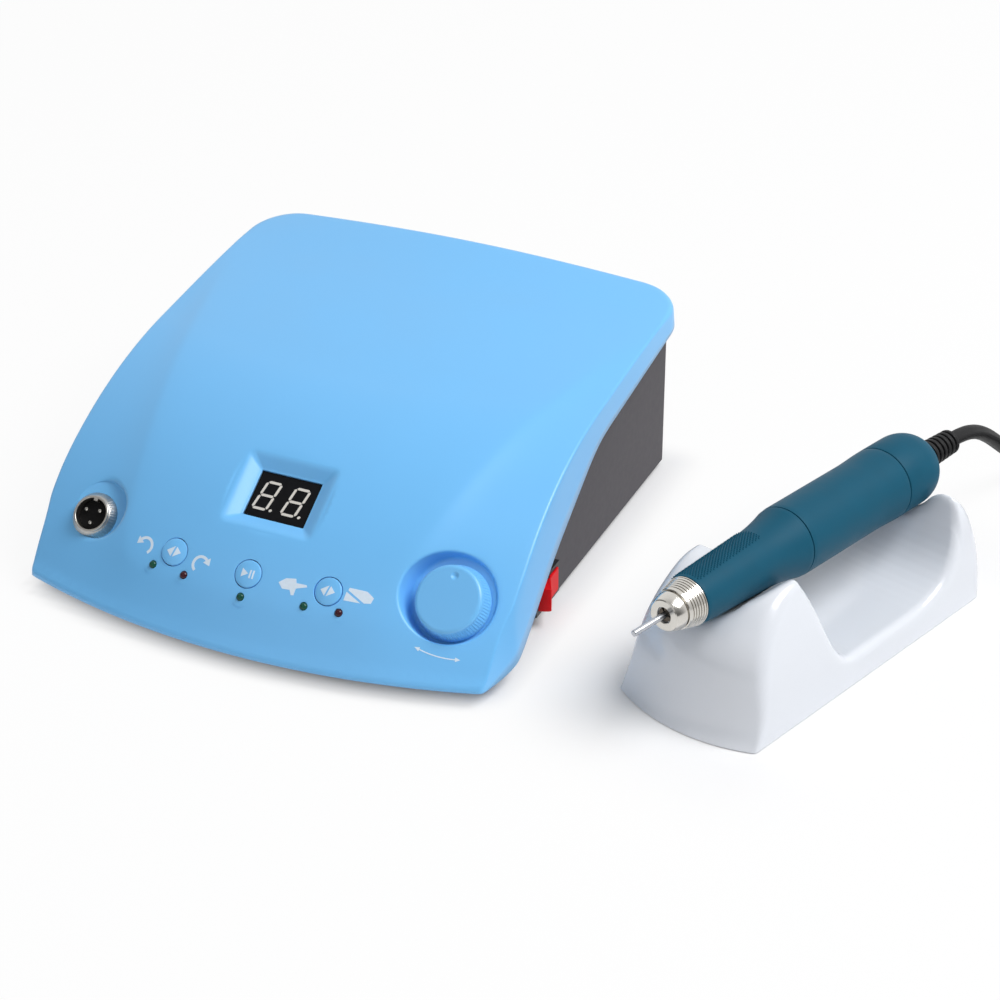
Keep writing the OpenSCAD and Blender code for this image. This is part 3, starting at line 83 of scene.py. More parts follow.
BOW_R = (CORNER_HALF_W**2 + FRONT_BOW**2) / (2 * FRONT_BOW)
AXIS_Y = BOW_R - FRONT_BOW
ROLL_Y = ROLL_R * math.sin(FRONT_SLOPE) - FRONT_BOW
ROLL_Z = LIP_Z + LIP_H - ROLL_R * math.cos(FRONT_SLOPE)
BREAK_D = ROLL_Y - ROLL_R * math.sin(REAR_SLOPE)
BREAK_Z = ROLL_Z + ROLL_R * math.cos(REAR_SLOPE)


def dome_z(d):
    """Height of the packed shell at distance d behind the middle of its front."""
    return ROLL_Z + math.sqrt(ROLL_R**2 - (ROLL_Y - d) ** 2)


def frame_on_shell(d):
    """Frame that stands square on the packed shell at distance d, from box millimetres."""
    tilt = math.asin((ROLL_Y - d) / ROLL_R)
    return Matrix.Translation((0, d, dome_z(d))) @ Matrix.Rotation(tilt, 4, "X")


SHELL_LOW, SHELL_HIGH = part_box("top_shell")
BOX_MID = (SHELL_LOW.x + SHELL_HIGH.x) / 2
BOX = Matrix.Translation((BOX_MID, SHELL_HIGH.y - SHELL_L * MM, 0)) @ Matrix.Scale(MM, 4)
PANEL_IN_BOX = frame_on_shell(2.4)
DISPLAY_IN_BOX = frame_on_shell(27.9)
PANEL = BOX @ PANEL_IN_BOX
DISPLAY = BOX @ DISPLAY_IN_BOX
CRADLE = BOX @ Matrix.Translation((163.9, 24.4, 0)) @ Matrix.Rotation(math.radians(-16.7), 4, "Z")
TAIL_DROP = math.radians(2.87)
NOSE = Vector((0, -15.7, 53.2))
HANDPIECE = CRADLE @ Matrix.Translation(NOSE) @ Matrix.Rotation(-math.pi / 2 - TAIL_DROP, 4, "X")


def seat_on_shell(x, d):
    """Place on the packed shell at x and distance d, in the panel's frame."""
    y = AXIS_Y - math.sqrt((AXIS_Y - d) ** 2 - x**2)
    return PANEL_IN_BOX.inverted() @ Vector((x, y, dome_z(d)))


BUTTON_SEATS = {
    "direction_button": seat_on_shell(-32, 2.4),
    "start_button": seat_on_shell(0, 2.4),
    "control_button": seat_on_shell(32, 2.4),
}
GREEN_SEATS = [seat_on_shell(-39.5, -2.4), seat_on_shell(-0.5, -3.6), seat_on_shell(24.5, -2.4)]
RED_SEATS = [seat_on_shell(-25.5, -2.4), seat_on_shell(38, -2.4)]
KNOB_SEAT = seat_on_shell(75.3, 4.4)
SOCKET_SEAT = seat_on_shell(-73.8, 3.4)
KNOB_FLOOR = KNOB_SEAT.z - 6.2
KNOB_FOOT = KNOB_FLOOR + 0.5
SOCKET_FLOOR = SOCKET_SEAT.z - 3.4
DISPLAY_SINK = 3
SHELL_WALL = 2.2


def linear(code):
    """A colour written as six hex figures, as linear light."""
    parts = [int(code[i:i + 2], 16) / 255 for i in (0, 2, 4)]
    return tuple(c / 12.92 if c <= 0.04045 else ((c + 0.055) / 1.055) ** 2.4 for c in parts)


class ShellLook(bpy.types.PropertyGroup):
    """Sizes and colours of the control box"""

    tongue_rise: bpy.props.FloatProperty(
        name="Tongue Rise", description="How far the middle of the shell stands above its wings",
        default=0.0032, min=0, max=0.004, unit="LENGTH", precision=5)
    tongue_run: bpy.props.FloatProperty(
        name="Tongue Run", description="Distance over which the wings fall away from the middle",
        default=0.010, min=0.003, max=0.03, unit="LENGTH", precision=4)
    crease: bpy.props.FloatProperty(
        name="Crease", description="Rounding of the shell's edge at the front and the sides",
        default=0.001, min=0.0005, max=0.003, unit="LENGTH", precision=5)
    mesh_step: bpy.props.FloatProperty(
        name="Mesh Step", description="Spacing of the points on the shell's top",
        default=0.0017, min=0.001, max=0.004, unit="LENGTH", precision=5)
    shell: bpy.props.FloatVectorProperty(
        name="Shell", description="Colour of the top shell, the knob and the buttons",
        size=3, subtype="COLOR", default=linear("71C1FB"))
    case: bpy.props.FloatVectorProperty(
        name="Case", description="Colour of the base case", size=3, subtype="COLOR",
        default=linear("444146"))
    rocker: bpy.props.FloatVectorProperty(
        name="Rocker", description="Colour of the power rocker", size=3, subtype="COLOR",
        default=linear("DE141C"))


class HandpieceLook(bpy.types.PropertyGroup):
    """Sizes and colours of the handpiece and its cord"""

    body: bpy.props.FloatVectorProperty(
        name="Body", description="Colour of the handpiece's sleeve, case and cap", size=3,
        subtype="COLOR", default=linear("13526A"))
    cord: bpy.props.FloatVectorProperty(
        name="Cord", description="Colour of the cord and its boot", size=3, subtype="COLOR",
        default=linear("131315"))
    cord_width: bpy.props.FloatProperty(
        name="Cord Width", description="Diameter of the cord", default=0.006, min=0.004,
        max=0.008, unit="LENGTH", precision=4)


class CradleLook(bpy.types.PropertyGroup):
    """Sizes and colours of the cradle"""

    mesh_step: bpy.props.FloatProperty(
        name="Mesh Step", description="Spacing of the cradle's mesh", default=0.0009,
        min=0.0006, max=0.003, unit="LENGTH", precision=5)
    body: bpy.props.FloatVectorProperty(
        name="Body", description="Colour of the cradle", size=3, subtype="COLOR",
        default=linear("E2E6ED"))


class StageLook(bpy.types.PropertyGroup):
    """Camera and light"""

    lens: bpy.props.FloatProperty(
        name="Lens", description="Focal length on a 36 mm frame", default=100.8, min=20, max=300)
    distance: bpy.props.FloatProperty(
        name="Distance", description="From the camera to the point that it looks at",
        default=1.12904, min=0.3, max=5, unit="LENGTH")
    key: bpy.props.FloatProperty(
        name="Key", description="Power of the large light over the right", default=25, min=0, max=200,
        unit="POWER")
    fill: bpy.props.FloatProperty(
        name="Fill", description="Power of the light from the front left", default=2.5, min=0, max=200,
        unit="POWER")
    room: bpy.props.FloatProperty(
        name="Room", description="Strength of the light from overhead", default=0.35, min=0, max=2)
    wall: bpy.props.FloatProperty(
        name="Wall", description="Strength of the light from low down all round", default=0.12, min=0,
        max=2)
    floor_white: bpy.props.FloatProperty(
        name="Floor White", description="Share of plain white in the floor that the camera sees",
        default=0.92, min=0, max=1, subtype="FACTOR")


GROUPS = {
    "micromotor_shell": ShellLook,
    "micromotor_handpiece": HandpieceLook,
    "micromotor_cradle": CradleLook,
    "micromotor_stage": StageLook,
}

# Each finish: its colour, as hex figures or as a group and its property, its roughness, and the rest
FINISHES = {
    "satin_blue_shell": (("micromotor_shell", "shell"), 0.36, dict(
        mottle=0.012, mottle_scale=25, grain=0.1, grain_scale=2200, gloss=0.65, sheen=0.12)),
    "matt_grey_case": (("micromotor_shell", "case"), 0.62, dict(
        mottle=0.05, mottle_scale=400, grain=0.5, grain_scale=1600)),
    "red_rocker": (("micromotor_shell", "rocker"), 0.42, dict(mottle=0.04, grain=0.03, gloss=0.12)),
    "teal_satin": (("micromotor_handpiece", "body"), 0.5, dict(
        mottle=0.035, mottle_scale=120, grain=0.12, grain_scale=1800, gloss=0.14)),
    "black_cord": (("micromotor_handpiece", "cord"), 0.5, dict(
        mottle=0.15, mottle_scale=300, grain=0.25, grain_scale=1500, gloss=0.25)),
    "gloss_white_cradle": (("micromotor_cradle", "body"), 0.2, dict(
        mottle=0.01, mottle_scale=20, coat=0.35, grain=0.02, grain_scale=600)),
    "cradle_pads": ("C9CED4", 0.7, dict(mottle=0.05, mottle_scale=300, grain=0.3)),
    "bright_nickel": ("D2CFC9", 0.2, dict(metal=1, mottle=0.05, mottle_scale=200, grain=0.04)),
    "brushed_nickel": ("BDBAB4", 0.32, dict(metal=1, mottle=0.08, mottle_scale=250, grain=0.15)),
    # Brownish steel of the collet's jaws, darkened further as painted shade of the hole in the nose
    "dark_jaw_steel": ("5E5750", 0.38, dict(metal=1, mottle=0.12, mottle_scale=600, grain=0.1)),
    "turned_steel": ("B9BCC2", 0.3, dict(metal=1, mottle=0.06, mottle_scale=300, grain=0.08)),
    "plated_brass": ("CDB98A", 0.28, dict(metal=1, mottle=0.06, mottle_scale=300)),
    "sink_aluminium": ("8F949B", 0.4, dict(metal=1, mottle=0.06, mottle_scale=300)),
    "core_laminations": ("6D6A66", 0.5, dict(
        metal=0.8, mottle=0.25, mottle_scale=900, stretch=(0.05, 1, 0.05))),
    "copper_winding": ("B5713A", 0.35, dict(
        metal=0.9, mottle=0.2, mottle_scale=1200, stretch=(0.1, 0.1, 1))),
    "dark_magnet": ("3C3A38", 0.6, dict(metal=0.4, mottle=0.1, mottle_scale=500)),
    "brush_carbon": ("161616", 0.7, dict(mottle=0.2, mottle_scale=900, grain=0.3)),
    "socket_black": ("0C0C0D", 0.55, dict(mottle=0.2, mottle_scale=500, grain=0.1, gloss=0.15)),
    "moulded_black": ("1F1F22", 0.45, dict(mottle=0.15, mottle_scale=200, grain=0.2)),
    "matt_foot_rubber": ("2B2B2D", 0.8, dict(mottle=0.12, mottle_scale=400, grain=0.5)),
    "green_board": ("2F6B3C", 0.4, dict(mottle=0.12, mottle_scale=700, grain=0.1)),
    "blue_sleeve": ("23344A", 0.35, dict(mottle=0.08, mottle_scale=200)),
    "green_lamps_lens": ("054A38", 0.18, dict(mottle=0.12, mottle_scale=700, grain=0.02, gloss=0.35)),
    "red_lamps_lens": ("3C0B18", 0.18, dict(mottle=0.12, mottle_scale=700, grain=0.02, gloss=0.35)),
    "black_display_face": ("161618", 0.4, dict(mottle=0.1, mottle_scale=500, grain=0.02, gloss=0.06)),
    "white_bars": ("D9D4CC", 0.4, dict(mottle=0.04, mottle_scale=1500, grain=0.05)),
    "white_print": ("DCEBFA", 0.6, dict(mottle=0.03, mottle_scale=900, grain=0.05)),
}
COAT_ROUGH = 0.12
ROUGH_SPREAD = 0.04
CLOUD_SPAN = (0.3, 0.7)
GRAIN_DEPTH = 0.0001
WHITE = (1, 1, 1, 1)


def shade(colour, by):
    """A colour made darker or lighter, as a node takes it."""
    return tuple(max(0.0, min(1.0, c * by)) for c in colour) + (1.0,)


def add_node(tree, kind, values=(), **settings):
    """A new shader node with its settings and the values of its inputs."""
    node = tree.nodes.new("ShaderNode" + kind)
    for key, value in settings.items():
        setattr(node, key, value)
    for key, value in dict(values).items():
        node.inputs[key].default_value = value
    return node


def build_finish(name, colour, rough, metal=0.0, mottle=0.03, mottle_scale=60, grain=0.0, grain_scale=2500,
                 coat=0.0, sheen=0.0, stretch=(1, 1, 1), gloss=0.5):
    """A node material: base colour that varies a little, roughness that varies, and a fine grain."""
    mat = bpy.data.materials.new(name)
    mat.use_nodes = True
    tree = mat.node_tree
    link = tree.links.new
    shader = tree.nodes["Principled BSDF"]
    plain = {"Metallic": metal, "Coat Weight": coat, "Coat Roughness": COAT_ROUGH, "Sheen Weight": sheen,
             "Specular IOR Level": gloss}
    for key, value in plain.items():
        shader.inputs[key].default_value = value
    place = add_node(tree, "TexCoord")
    spread = add_node(tree, "Mapping", {"Scale": stretch})
    link(place.outputs["Object"], spread.inputs["Vector"])
    cloud = add_node(tree, "TexNoise", {"Scale": mottle_scale, "Detail": 4})
    link(spread.outputs["Vector"], cloud.inputs["Vector"])
    ramp = add_node(tree, "ValToRGB")
    for stop, at, by in zip(ramp.color_ramp.elements, CLOUD_SPAN, (1 - mottle, 1 + mottle)):
        stop.position = at
        stop.color = shade(colour, by)
    link(cloud.outputs["Fac"], ramp.inputs["Fac"])
    link(ramp.outputs["Color"], shader.inputs["Base Color"])
    span = add_node(tree, "MapRange", {
        "From Min": CLOUD_SPAN[0], "From Max": CLOUD_SPAN[1],
        "To Min": max(0.02, rough - ROUGH_SPREAD), "To Max": min(1.0, rough + ROUGH_SPREAD)})
    link(cloud.outputs["Fac"], span.inputs["Value"])
    link(span.outputs["Result"], shader.inputs["Roughness"])
    if grain:
        fine = add_node(tree, "TexNoise", {"Scale": grain_scale, "Detail": 2})
        link(spread.outputs["Vector"], fine.inputs["Vector"])
        bump = add_node(tree, "Bump", {"Strength": grain, "Distance": GRAIN_DEPTH})
        link(fine.outputs["Fac"], bump.inputs["Height"])
        link(bump.outputs["Normal"], shader.inputs["Normal"])
    return mat


def finish(name):
    """The finish of this name, made when it is first asked for."""
    known = bpy.data.materials.get(name)
    if known:
        return known
    colour, rough, rest = FINISHES[name]
    if isinstance(colour, str):
        colour = linear(colour)
    else:
        group, key = colour
        colour = getattr(getattr(bpy.context.scene, group), key)
    return build_finish(name, colour, rough, **rest)


# Mesh building

def placed(frame, points):
    """Points of a frame's millimetres where the frame puts them."""
    turn = np.array(frame)
    return np.asarray(points, float) @ turn[:3, :3].T + turn[:3, 3]


def piece(name, points, faces, frame, body, slot, look, angle=35, replaces=()):
    """A mesh object from points in a frame's millimetres, with a finish, riding on a body."""
    mesh = bpy.data.meshes.new(name)
    mesh.from_pydata(placed(frame, points).tolist(), [], [list(map(int, f)) for f in faces])
    mesh.validate()
    tidy_normals(mesh)
    mesh.shade_smooth()
    mesh.set_sharp_from_angle(angle=math.radians(angle))
    mesh.materials.append(finish(look))
    obj = bpy.data.objects.new(name, mesh)
    bpy.context.scene.collection.objects.link(obj)
    if body:
        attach(obj, body)
    if replaces:
        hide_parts(*replaces)
    return obj


def tidy_normals(mesh):
    """Joins points that meet and turns the faces outward."""
    form = bmesh.new()
    form.from_mesh(mesh)
    bmesh.ops.remove_doubles(form, verts=form.verts, dist=1e-6)
    bmesh.ops.recalc_face_normals(form, faces=form.faces)
    form.to_mesh(mesh)
    form.free()


def dress(look, edge, *nodes):
    """A finish on CAD nodes, and a small bevel on their edges where edge isn't nought."""
    for node in nodes:
        obj = NODES[node]
        if obj.material_slots:
            for place in obj.material_slots:
                place.material = finish(look)
        else:
            obj.data.materials.append(finish(look))
        if edge:
            weld = obj.modifiers.new("weld", "WELD")
            weld.merge_threshold = 1e-6
            bevel = obj.modifiers.new("edge", "BEVEL")
            bevel.width = edge * MM
            bevel.segments = 2
            bevel.limit_method = "ANGLE"
            bevel.angle_limit = math.radians(40)
            bevel.harden_normals = True


def lathe(profile, sides, ripple=None):
    """Points and faces of a profile of (radius, height) turned about the third axis."""
    profile = np.asarray(profile, float)
    turn = np.linspace(0, 2 * np.pi, sides, endpoint=False)
    radius = np.repeat(profile[:, :1], sides, 1)
    if ripple is not None:
        radius = radius + ripple(profile[:, 1:2], turn[None, :], radius)
    x = radius * np.cos(turn)
    y = radius * np.sin(turn)
    z = np.repeat(profile[:, 1:2], sides, 1)
    points = np.stack([x, y, z], 2).reshape(-1, 3)
    return points, ring_faces(len(profile), sides)


def lathed_ring(profile, sides):
    """Points and faces of a profile that closes on itself, turned about the third axis."""
    return lathe(profile + profile[:1], sides)


def ring_faces(rings, sides):
    """Faces between rings of points that follow each other."""
    faces = []
    for i in range(rings - 1):
        for k in range(sides):
            a = i * sides + k
            b = i * sides + (k + 1) % sides
            faces.append((a, b, b + sides, a + sides))
    return faces


def join(parts):
    """Several point and face lists as one."""
    points = []
    faces = []
    count = 0
    for some, those in parts:
        points.append(np.asarray(some, float))
        faces += [tuple(count + i for i in f) for f in those]
        count += len(some)
    return np.concatenate(points), faces


def moved(part, by):
    """A point and face list at another place."""
    points, faces = part
    return np.asarray(points, float) + np.asarray(by, float), faces


def bend(a, b, c, steps):
    """Points of the curve from a to c that b pulls, both ends in."""
    t = np.linspace(0, 1, steps)[:, None, None]
    return (1 - t) ** 2 * a + 2 * (1 - t) * t * b + t**2 * c


def rounded_profile(corners, radius, steps=4):
    """A profile with its inner corners rounded by up to radius."""
    corners = [np.array(c, float) for c in corners]
    out = [corners[0]]
    for before, here, after in zip(corners, corners[1:], corners[2:]):
        reach_in = np.linalg.norm(before - here)
        reach_out = np.linalg.norm(after - here)
        cut = min(radius, reach_in * 0.45, reach_out * 0.45)
        a = here + (before - here) / reach_in * cut
        c = here + (after - here) / reach_out * cut
        out += list(bend(a, here, c, steps)[:, 0])
    out.append(corners[-1])
    return np.array(out)


def smooth_step(low, high, x):
    """From nought at low to one at high, level at both."""
    t = np.clip((x - low) / (high - low), 0, 1)
    return t * t * (3 - 2 * t)


def circle(n):
    """n flat points round a circle of radius one."""
    turn = np.linspace(0, 2 * np.pi, n, endpoint=False)
    return np.stack([np.cos(turn), np.sin(turn)], 1)


# The shell's surface, with a raised tongue down its middle

TONGUE_HALF_W = 54
TONGUE_SPREAD = 0.235
TONGUE_SQUARE = 0.973
TONGUE_FRONT = -5
TONGUE_STEEP = 1.8
TONGUE_CORNER_R = 8
TONGUE_TOP_FADE = (100, 178)
TONGUE_NOSE_FADE = (-15.5, -12)
SEARCH_Z = (-45.0, 25.0)


def shell_z(x, y):
    """Height of the dressed shell over box millimetres x and y."""
    look = bpy.context.scene.micromotor_shell
    x = np.asarray(x, float)
    y = np.asarray(y, float)
    d = AXIS_Y - np.hypot(x, AXIS_Y - y)
    arc = ROLL_Z + np.sqrt(np.maximum(ROLL_R**2 - (ROLL_Y - d) ** 2, 0))
    rear = BREAK_Z + (d - BREAK_D) * math.tan(REAR_SLOPE)
    plain = np.where(d < BREAK_D, arc, rear)
    side = (np.abs(x) - TONGUE_HALF_W - TONGUE_SPREAD * y) * TONGUE_SQUARE
    front = TONGUE_STEEP * (TONGUE_FRONT - d)
    corner = TONGUE_CORNER_R
    apart = np.hypot(np.maximum(side + corner, 0), np.maximum(front + corner, 0)) - corner
    out = np.where((side > -corner) | (front > -corner), apart, np.maximum(side, front))
    soft = 0.5 * (out + np.sqrt(out**2 + 4))
    fall = 1 - np.exp(-soft / (look.tongue_run / MM))
    rise = look.tongue_rise / MM * (1 - smooth_step(*TONGUE_TOP_FADE, y)) * smooth_step(*TONGUE_NOSE_FADE, d)
    return plain + rise * (0.5 - fall)


def surface(frame, x, y):
    """Third coordinate of the dressed shell in a frame given in box millimetres, over its x and y."""
    low = np.full(np.shape(x), SEARCH_Z[0])
    high = np.full(np.shape(x), SEARCH_Z[1])
    for _ in range(40):
        mid = (low + high) / 2
        at = placed(frame, np.stack([x, y, mid], -1))
        under = at[..., 2] < shell_z(at[..., 0], at[..., 1])
        low = np.where(under, mid, low)
        high = np.where(under, high, mid)
    return (low + high) / 2


def on_surface(frame, flat, lift=0.0):
    """Points of a frame's plane put on the dressed shell."""
    flat = np.asarray(flat, float)
    z = surface(frame, flat[:, 0], flat[:, 1]) + lift
    return np.column_stack([flat[:, :2], z])


# How much of a dish's round edge goes where the dish is deep, and from which depth to which
DISH_EDGE_LOSS = 0.65
DISH_DEPTHS = (0.5, 3.5)
DISH_HOLE_DEPTH = 1.5


def round_well(at, radius, floor, taper, edge, n, foot=0.0, hole=None, hole_at=None):
    """Rings from the shell's surface down a round well in the panel's frame."""
    ring = circle(n)
    centre = np.array([at[0], at[1]])
    rim = np.full(n, float(radius))
    for _ in range(6):
        z = surface(PANEL_IN_BOX, centre[0] + rim * ring[:, 0], centre[1] + rim * ring[:, 1])
        rim = radius + taper * (z - floor)

    def at_radius(r, height, about=centre):
        r = np.broadcast_to(r, (n,))
        flat = about + ring * r[:, None]
        return np.column_stack([flat, np.broadcast_to(height, (n,))])

    if foot:
        edge = edge * (1 - DISH_EDGE_LOSS * smooth_step(*DISH_DEPTHS, z - floor))
    outer = on_surface(PANEL_IN_BOX, centre + ring * (rim + edge)[:, None])
    corner = on_surface(PANEL_IN_BOX, centre + ring * rim[:, None])
    down = np.minimum(edge, 0.6 * (corner[:, 2] - floor))
    inner = at_radius(rim - taper * down, corner[:, 2] - down)
    rings = list(bend(outer, corner, inner, 7))
    if foot:
        hole_mid = np.array(hole_at[:2])
        off = hole_mid - centre
        along = ring @ off
        foot = np.minimum(foot, radius - along - np.sqrt(along**2 - off @ off + hole**2) - 0.05)
        foot = np.minimum(foot, inner[:, 2] - floor - 0.01)
        start = at_radius(radius + taper * foot, floor + foot)
        rings += list(bend(start, at_radius(radius, floor), at_radius(radius - foot, floor), 5))
        rings.append(at_radius(hole, floor, hole_mid))
        rings.append(at_radius(hole, floor - DISH_HOLE_DEPTH, hole_mid))
    else:
        rings.append(at_radius(radius, floor))
    return [placed(PANEL_IN_BOX, r) for r in rings]


def rounded_rect(w, h, r, n):
    """Loop round a rectangle with round corners, n points to a corner."""
    points = []
    for k, (sx, sy) in enumerate(((1, 1), (-1, 1), (-1, -1), (1, -1))):
        turn = np.linspace(k * np.pi / 2, (k + 1) * np.pi / 2, n)
        x = sx * (w / 2 - r) + r * np.cos(turn)
        y = sy * (h / 2 - r) + r * np.sin(turn)
        points.append(np.stack([x, y], 1))
    return np.concatenate(points)


RECESS_RIM = (37, 30)
RECESS_FLOOR = (26.4, 20.3)
RECESS_EDGE = 1.2
WINDOW = (25.4, 19.3)
WINDOW_EDGE = 0.4


def recess_well():
    """Rings from the shell's surface down the sloped recess to the display's window."""
    n = 7

    def flat(size, r, z):
        loop = rounded_rect(*size, r, n)
        return np.column_stack([loop, np.full(len(loop), z)])

    wide = [side + 2 * RECESS_EDGE for side in RECESS_RIM]
    lip = [side + WINDOW_EDGE for side in WINDOW]
    outer = on_surface(DISPLAY_IN_BOX, rounded_rect(*wide, 3.2, n))
    corner = on_surface(DISPLAY_IN_BOX, rounded_rect(*RECESS_RIM, 2.4, n))
    floor = flat(RECESS_FLOOR, 0.9, -DISPLAY_SINK)
    depth = (corner[:, 2] + DISPLAY_SINK)[:, None]
    inner = corner + (floor - corner) * (RECESS_EDGE / depth)
    rings = list(bend(outer, corner, inner, 5))
    ease = floor + (corner - floor) * 0.12
    rings += list(bend(ease, floor, flat(lip, 0.6, -DISPLAY_SINK - 0.05), 4))
    for drop in (0.2, 2.5):
        rings.append(flat(WINDOW, 0.4, -DISPLAY_SINK - drop))
    return [placed(DISPLAY_IN_BOX, r) for r in rings]


def inside(points, loop):
    """Which of the points lie inside a closed loop, both flat."""
    x = points[:, 0][:, None]
    y = points[:, 1][:, None]
    x0 = loop[:, 0]
    y0 = loop[:, 1]
    x1 = np.roll(x0, -1)
    y1 = np.roll(y0, -1)
    spans = (y0 > y) != (y1 > y)
    slope = (x1 - x0) / np.where(y1 == y0, 1e-12, y1 - y0)
    cross = spans & (x < slope * (y - y0) + x0)
    return cross.sum(1) % 2 == 1


def nearest(points, loop):
    """Distance of each point from the nearest point of a loop."""
    best = np.full(len(points), 1e9)
    for start in range(0, len(loop), 64):
        gap = np.hypot(points[:, None, 0] - loop[None, start:start + 64, 0],
                       points[:, None, 1] - loop[None, start:start + 64, 1])
        best = np.minimum(best, gap.min(1))
    return best


def fill(outer, holes, step):
    """Flat triangles that fill a loop but not its holes: points and faces."""
    low = outer.min(0)
    high = outer.max(0)
    rows = []
    for i, y in enumerate(np.arange(low[1], high[1], step * 0.866)):
        xs = np.arange(low[0] + (i % 2) * step / 2, high[0], step)
        rows.append(np.stack([xs, np.full(len(xs), y)], 1))
    grid = np.concatenate(rows)
    keep = inside(grid, outer) & (nearest(grid, outer) > step * 0.6)
    for loop in holes:
        keep &= ~inside(grid, loop) & (nearest(grid, loop) > step * 0.6)
    points = [outer] + list(holes)
    edges = []
    count = 0
    for loop in points:
        n = len(loop)
        edges += [(count + k, count + (k + 1) % n) for k in range(n)]
        count += n
    flat = np.concatenate(points + [grid[keep]])
    made = geometry.delaunay_2d_cdt([Vector(p) for p in flat], edges, [], 0, 1e-6)
    verts = np.array([(v.x, v.y) for v in made[0]])
    faces = np.array([f for f in made[2] if len(f) == 3])
    middle = verts[faces].mean(1)
    good = inside(middle, outer)
    for loop in holes:
        good &= ~inside(middle, loop)
    return verts, faces[good]


def shell_outline():
    """Loop round the shell at its lip, with how it leans in for each millimetre of height."""
    half = math.asin(CORNER_HALF_W / BOW_R)
    right = []
    for t in np.linspace(0, half, 79):
        right.append((BOW_R * math.sin(t), AXIS_Y - BOW_R * math.cos(t), 0, 0))
    run = Vector((SHELL_HALF_W - CORNER_HALF_W, CORNER_L)).normalized()
    for t in np.linspace(0, 1, 18)[1:]:
        x = CORNER_HALF_W + (SHELL_HALF_W - CORNER_HALF_W) * t
        right.append((x, CORNER_L * t, -run.y * CORNER_LEAN, run.x * CORNER_LEAN))
    for y in np.linspace(CORNER_L, SHELL_L - REAR_CORNER_R, 128)[1:]:
        right.append((SHELL_HALF_W, y, -SIDE_LEAN, 0))
    for t in np.linspace(0, math.pi / 2, 24)[1:]:
        x = SHELL_HALF_W - REAR_CORNER_R * (1 - math.cos(t))
        right.append((x, SHELL_L - REAR_CORNER_R * (1 - math.sin(t)), -SIDE_LEAN, 0))
    rear = SHELL_HALF_W - REAR_CORNER_R
    for t in np.linspace(1, 0, 67)[1:]:
        right.append((rear * t, SHELL_L, -SIDE_LEAN * t, 0))
    right = np.array(right)
    left = right[-2:0:-1] * np.array([-1, 1, -1, 1])
    loop = np.concatenate([right, left])
    for i in range(60):
        even = 0.5 * loop + 0.25 * (np.roll(loop, 1, 0) + np.roll(loop, -1, 0))
        loop = even if i < 2 else np.column_stack([loop[:, :2], even[:, 2:]])
    return loop


def shell_rings():
    """Rings of the shell's edge, from just inside its crease down to the skirt."""
    look = bpy.context.scene.micromotor_shell
    loop = shell_outline()
    base = loop[:, :2]
    lean = loop[:, 2:]
    crease = base.copy()
    for _ in range(25):
        z = shell_z(crease[:, 0], crease[:, 1])
        crease = base + lean * (z - LIP_Z)[:, None]
    z = shell_z(crease[:, 0], crease[:, 1])
    along = np.roll(crease, -1, 0) - np.roll(crease, 1, 0)
    along /= np.linalg.norm(along, axis=1)[:, None]
    inward = np.stack([-along[:, 1], along[:, 0]], 1)
    edge = look.crease / MM * (1 + 2 * smooth_step(165, 190, base[:, 1]))
    skirt = np.interp(base[:, 1], SKIRT_Y, SKIRT_Z)
    for _ in range(60):
        skirt = 0.5 * skirt + 0.25 * (np.roll(skirt, 1) + np.roll(skirt, -1))
    skirt = np.minimum(skirt, z - 0.9)
    drop = z - skirt
    top = crease + inward * edge[:, None]
    first = np.column_stack([top, shell_z(top[:, 0], top[:, 1])])
    corner = np.column_stack([crease, z])
    share = np.minimum(edge / drop, 0.45)
    down = np.column_stack([-lean * drop[:, None], -drop])
    rings = list(bend(first, corner, corner + down * share[:, None], 7))
    for t in (0.25, 0.5, 0.75, 1):
        rings.append(corner + down * (share + (1 - share) * t)[:, None])
    return rings


def wells():
    """Every well in the shell's top as rings in box millimetres."""
    knob = (KNOB_SEAT.x - 0.6, KNOB_SEAT.y + 1.2)
    socket = (SOCKET_SEAT.x + 2.0, SOCKET_SEAT.y + 2.9)
    found = [
        round_well(knob, radius=16.4, floor=KNOB_FLOOR, taper=0.16, edge=3.0, n=120, foot=1.6, hole=4.2,
                   hole_at=KNOB_SEAT),
        round_well(socket, radius=11.2, floor=SOCKET_FLOOR + 0.36, taper=0.2, edge=4.4, n=96, foot=1.6,
                   hole=7.4, hole_at=SOCKET_SEAT),
        recess_well(),
    ]
    for seat in BUTTON_SEATS.values():
        found.append(round_well(seat, radius=5.5, floor=seat.z - 4.6, taper=0, edge=0.12, n=56))
    for seat in GREEN_SEATS + RED_SEATS:
        found.append(round_well(seat, radius=1.55, floor=seat.z - 2.6, taper=0, edge=0.2, n=28))
    return found


class MICROMOTOR_OT_shell(bpy.types.Operator):
    """Builds the top shell with its raised middle, dishes, recess and holes"""

    bl_idname = "micromotor.shell"
    bl_label = "Top Shell"

    def execute(self, context):
        edge = shell_rings()
        pits = wells()
        step = context.scene.micromotor_shell.mesh_step / MM
        flat, faces = fill(edge[0][:, :2], [w[0][:, :2] for w in pits], step)
        parts = [(np.column_stack([flat, shell_z(flat[:, 0], flat[:, 1])]), faces)]
        for rings in [edge] + pits:
            parts.append((np.concatenate(rings), ring_faces(len(rings), len(rings[0]))))
        obj = piece("shell_top", *join(parts), BOX, "control_box", "shell_blue", "satin_blue_shell", 40,
                    ["top_shell"])
        top = max(obj.data.polygons, key=lambda f: f.center.z)
        if top.normal.z < 0:
            obj.data.flip_normals()
        thick = obj.modifiers.new("wall", "SOLIDIFY")
        thick.thickness = SHELL_WALL * MM
        thick.offset = -1
        return {"FINISHED"}


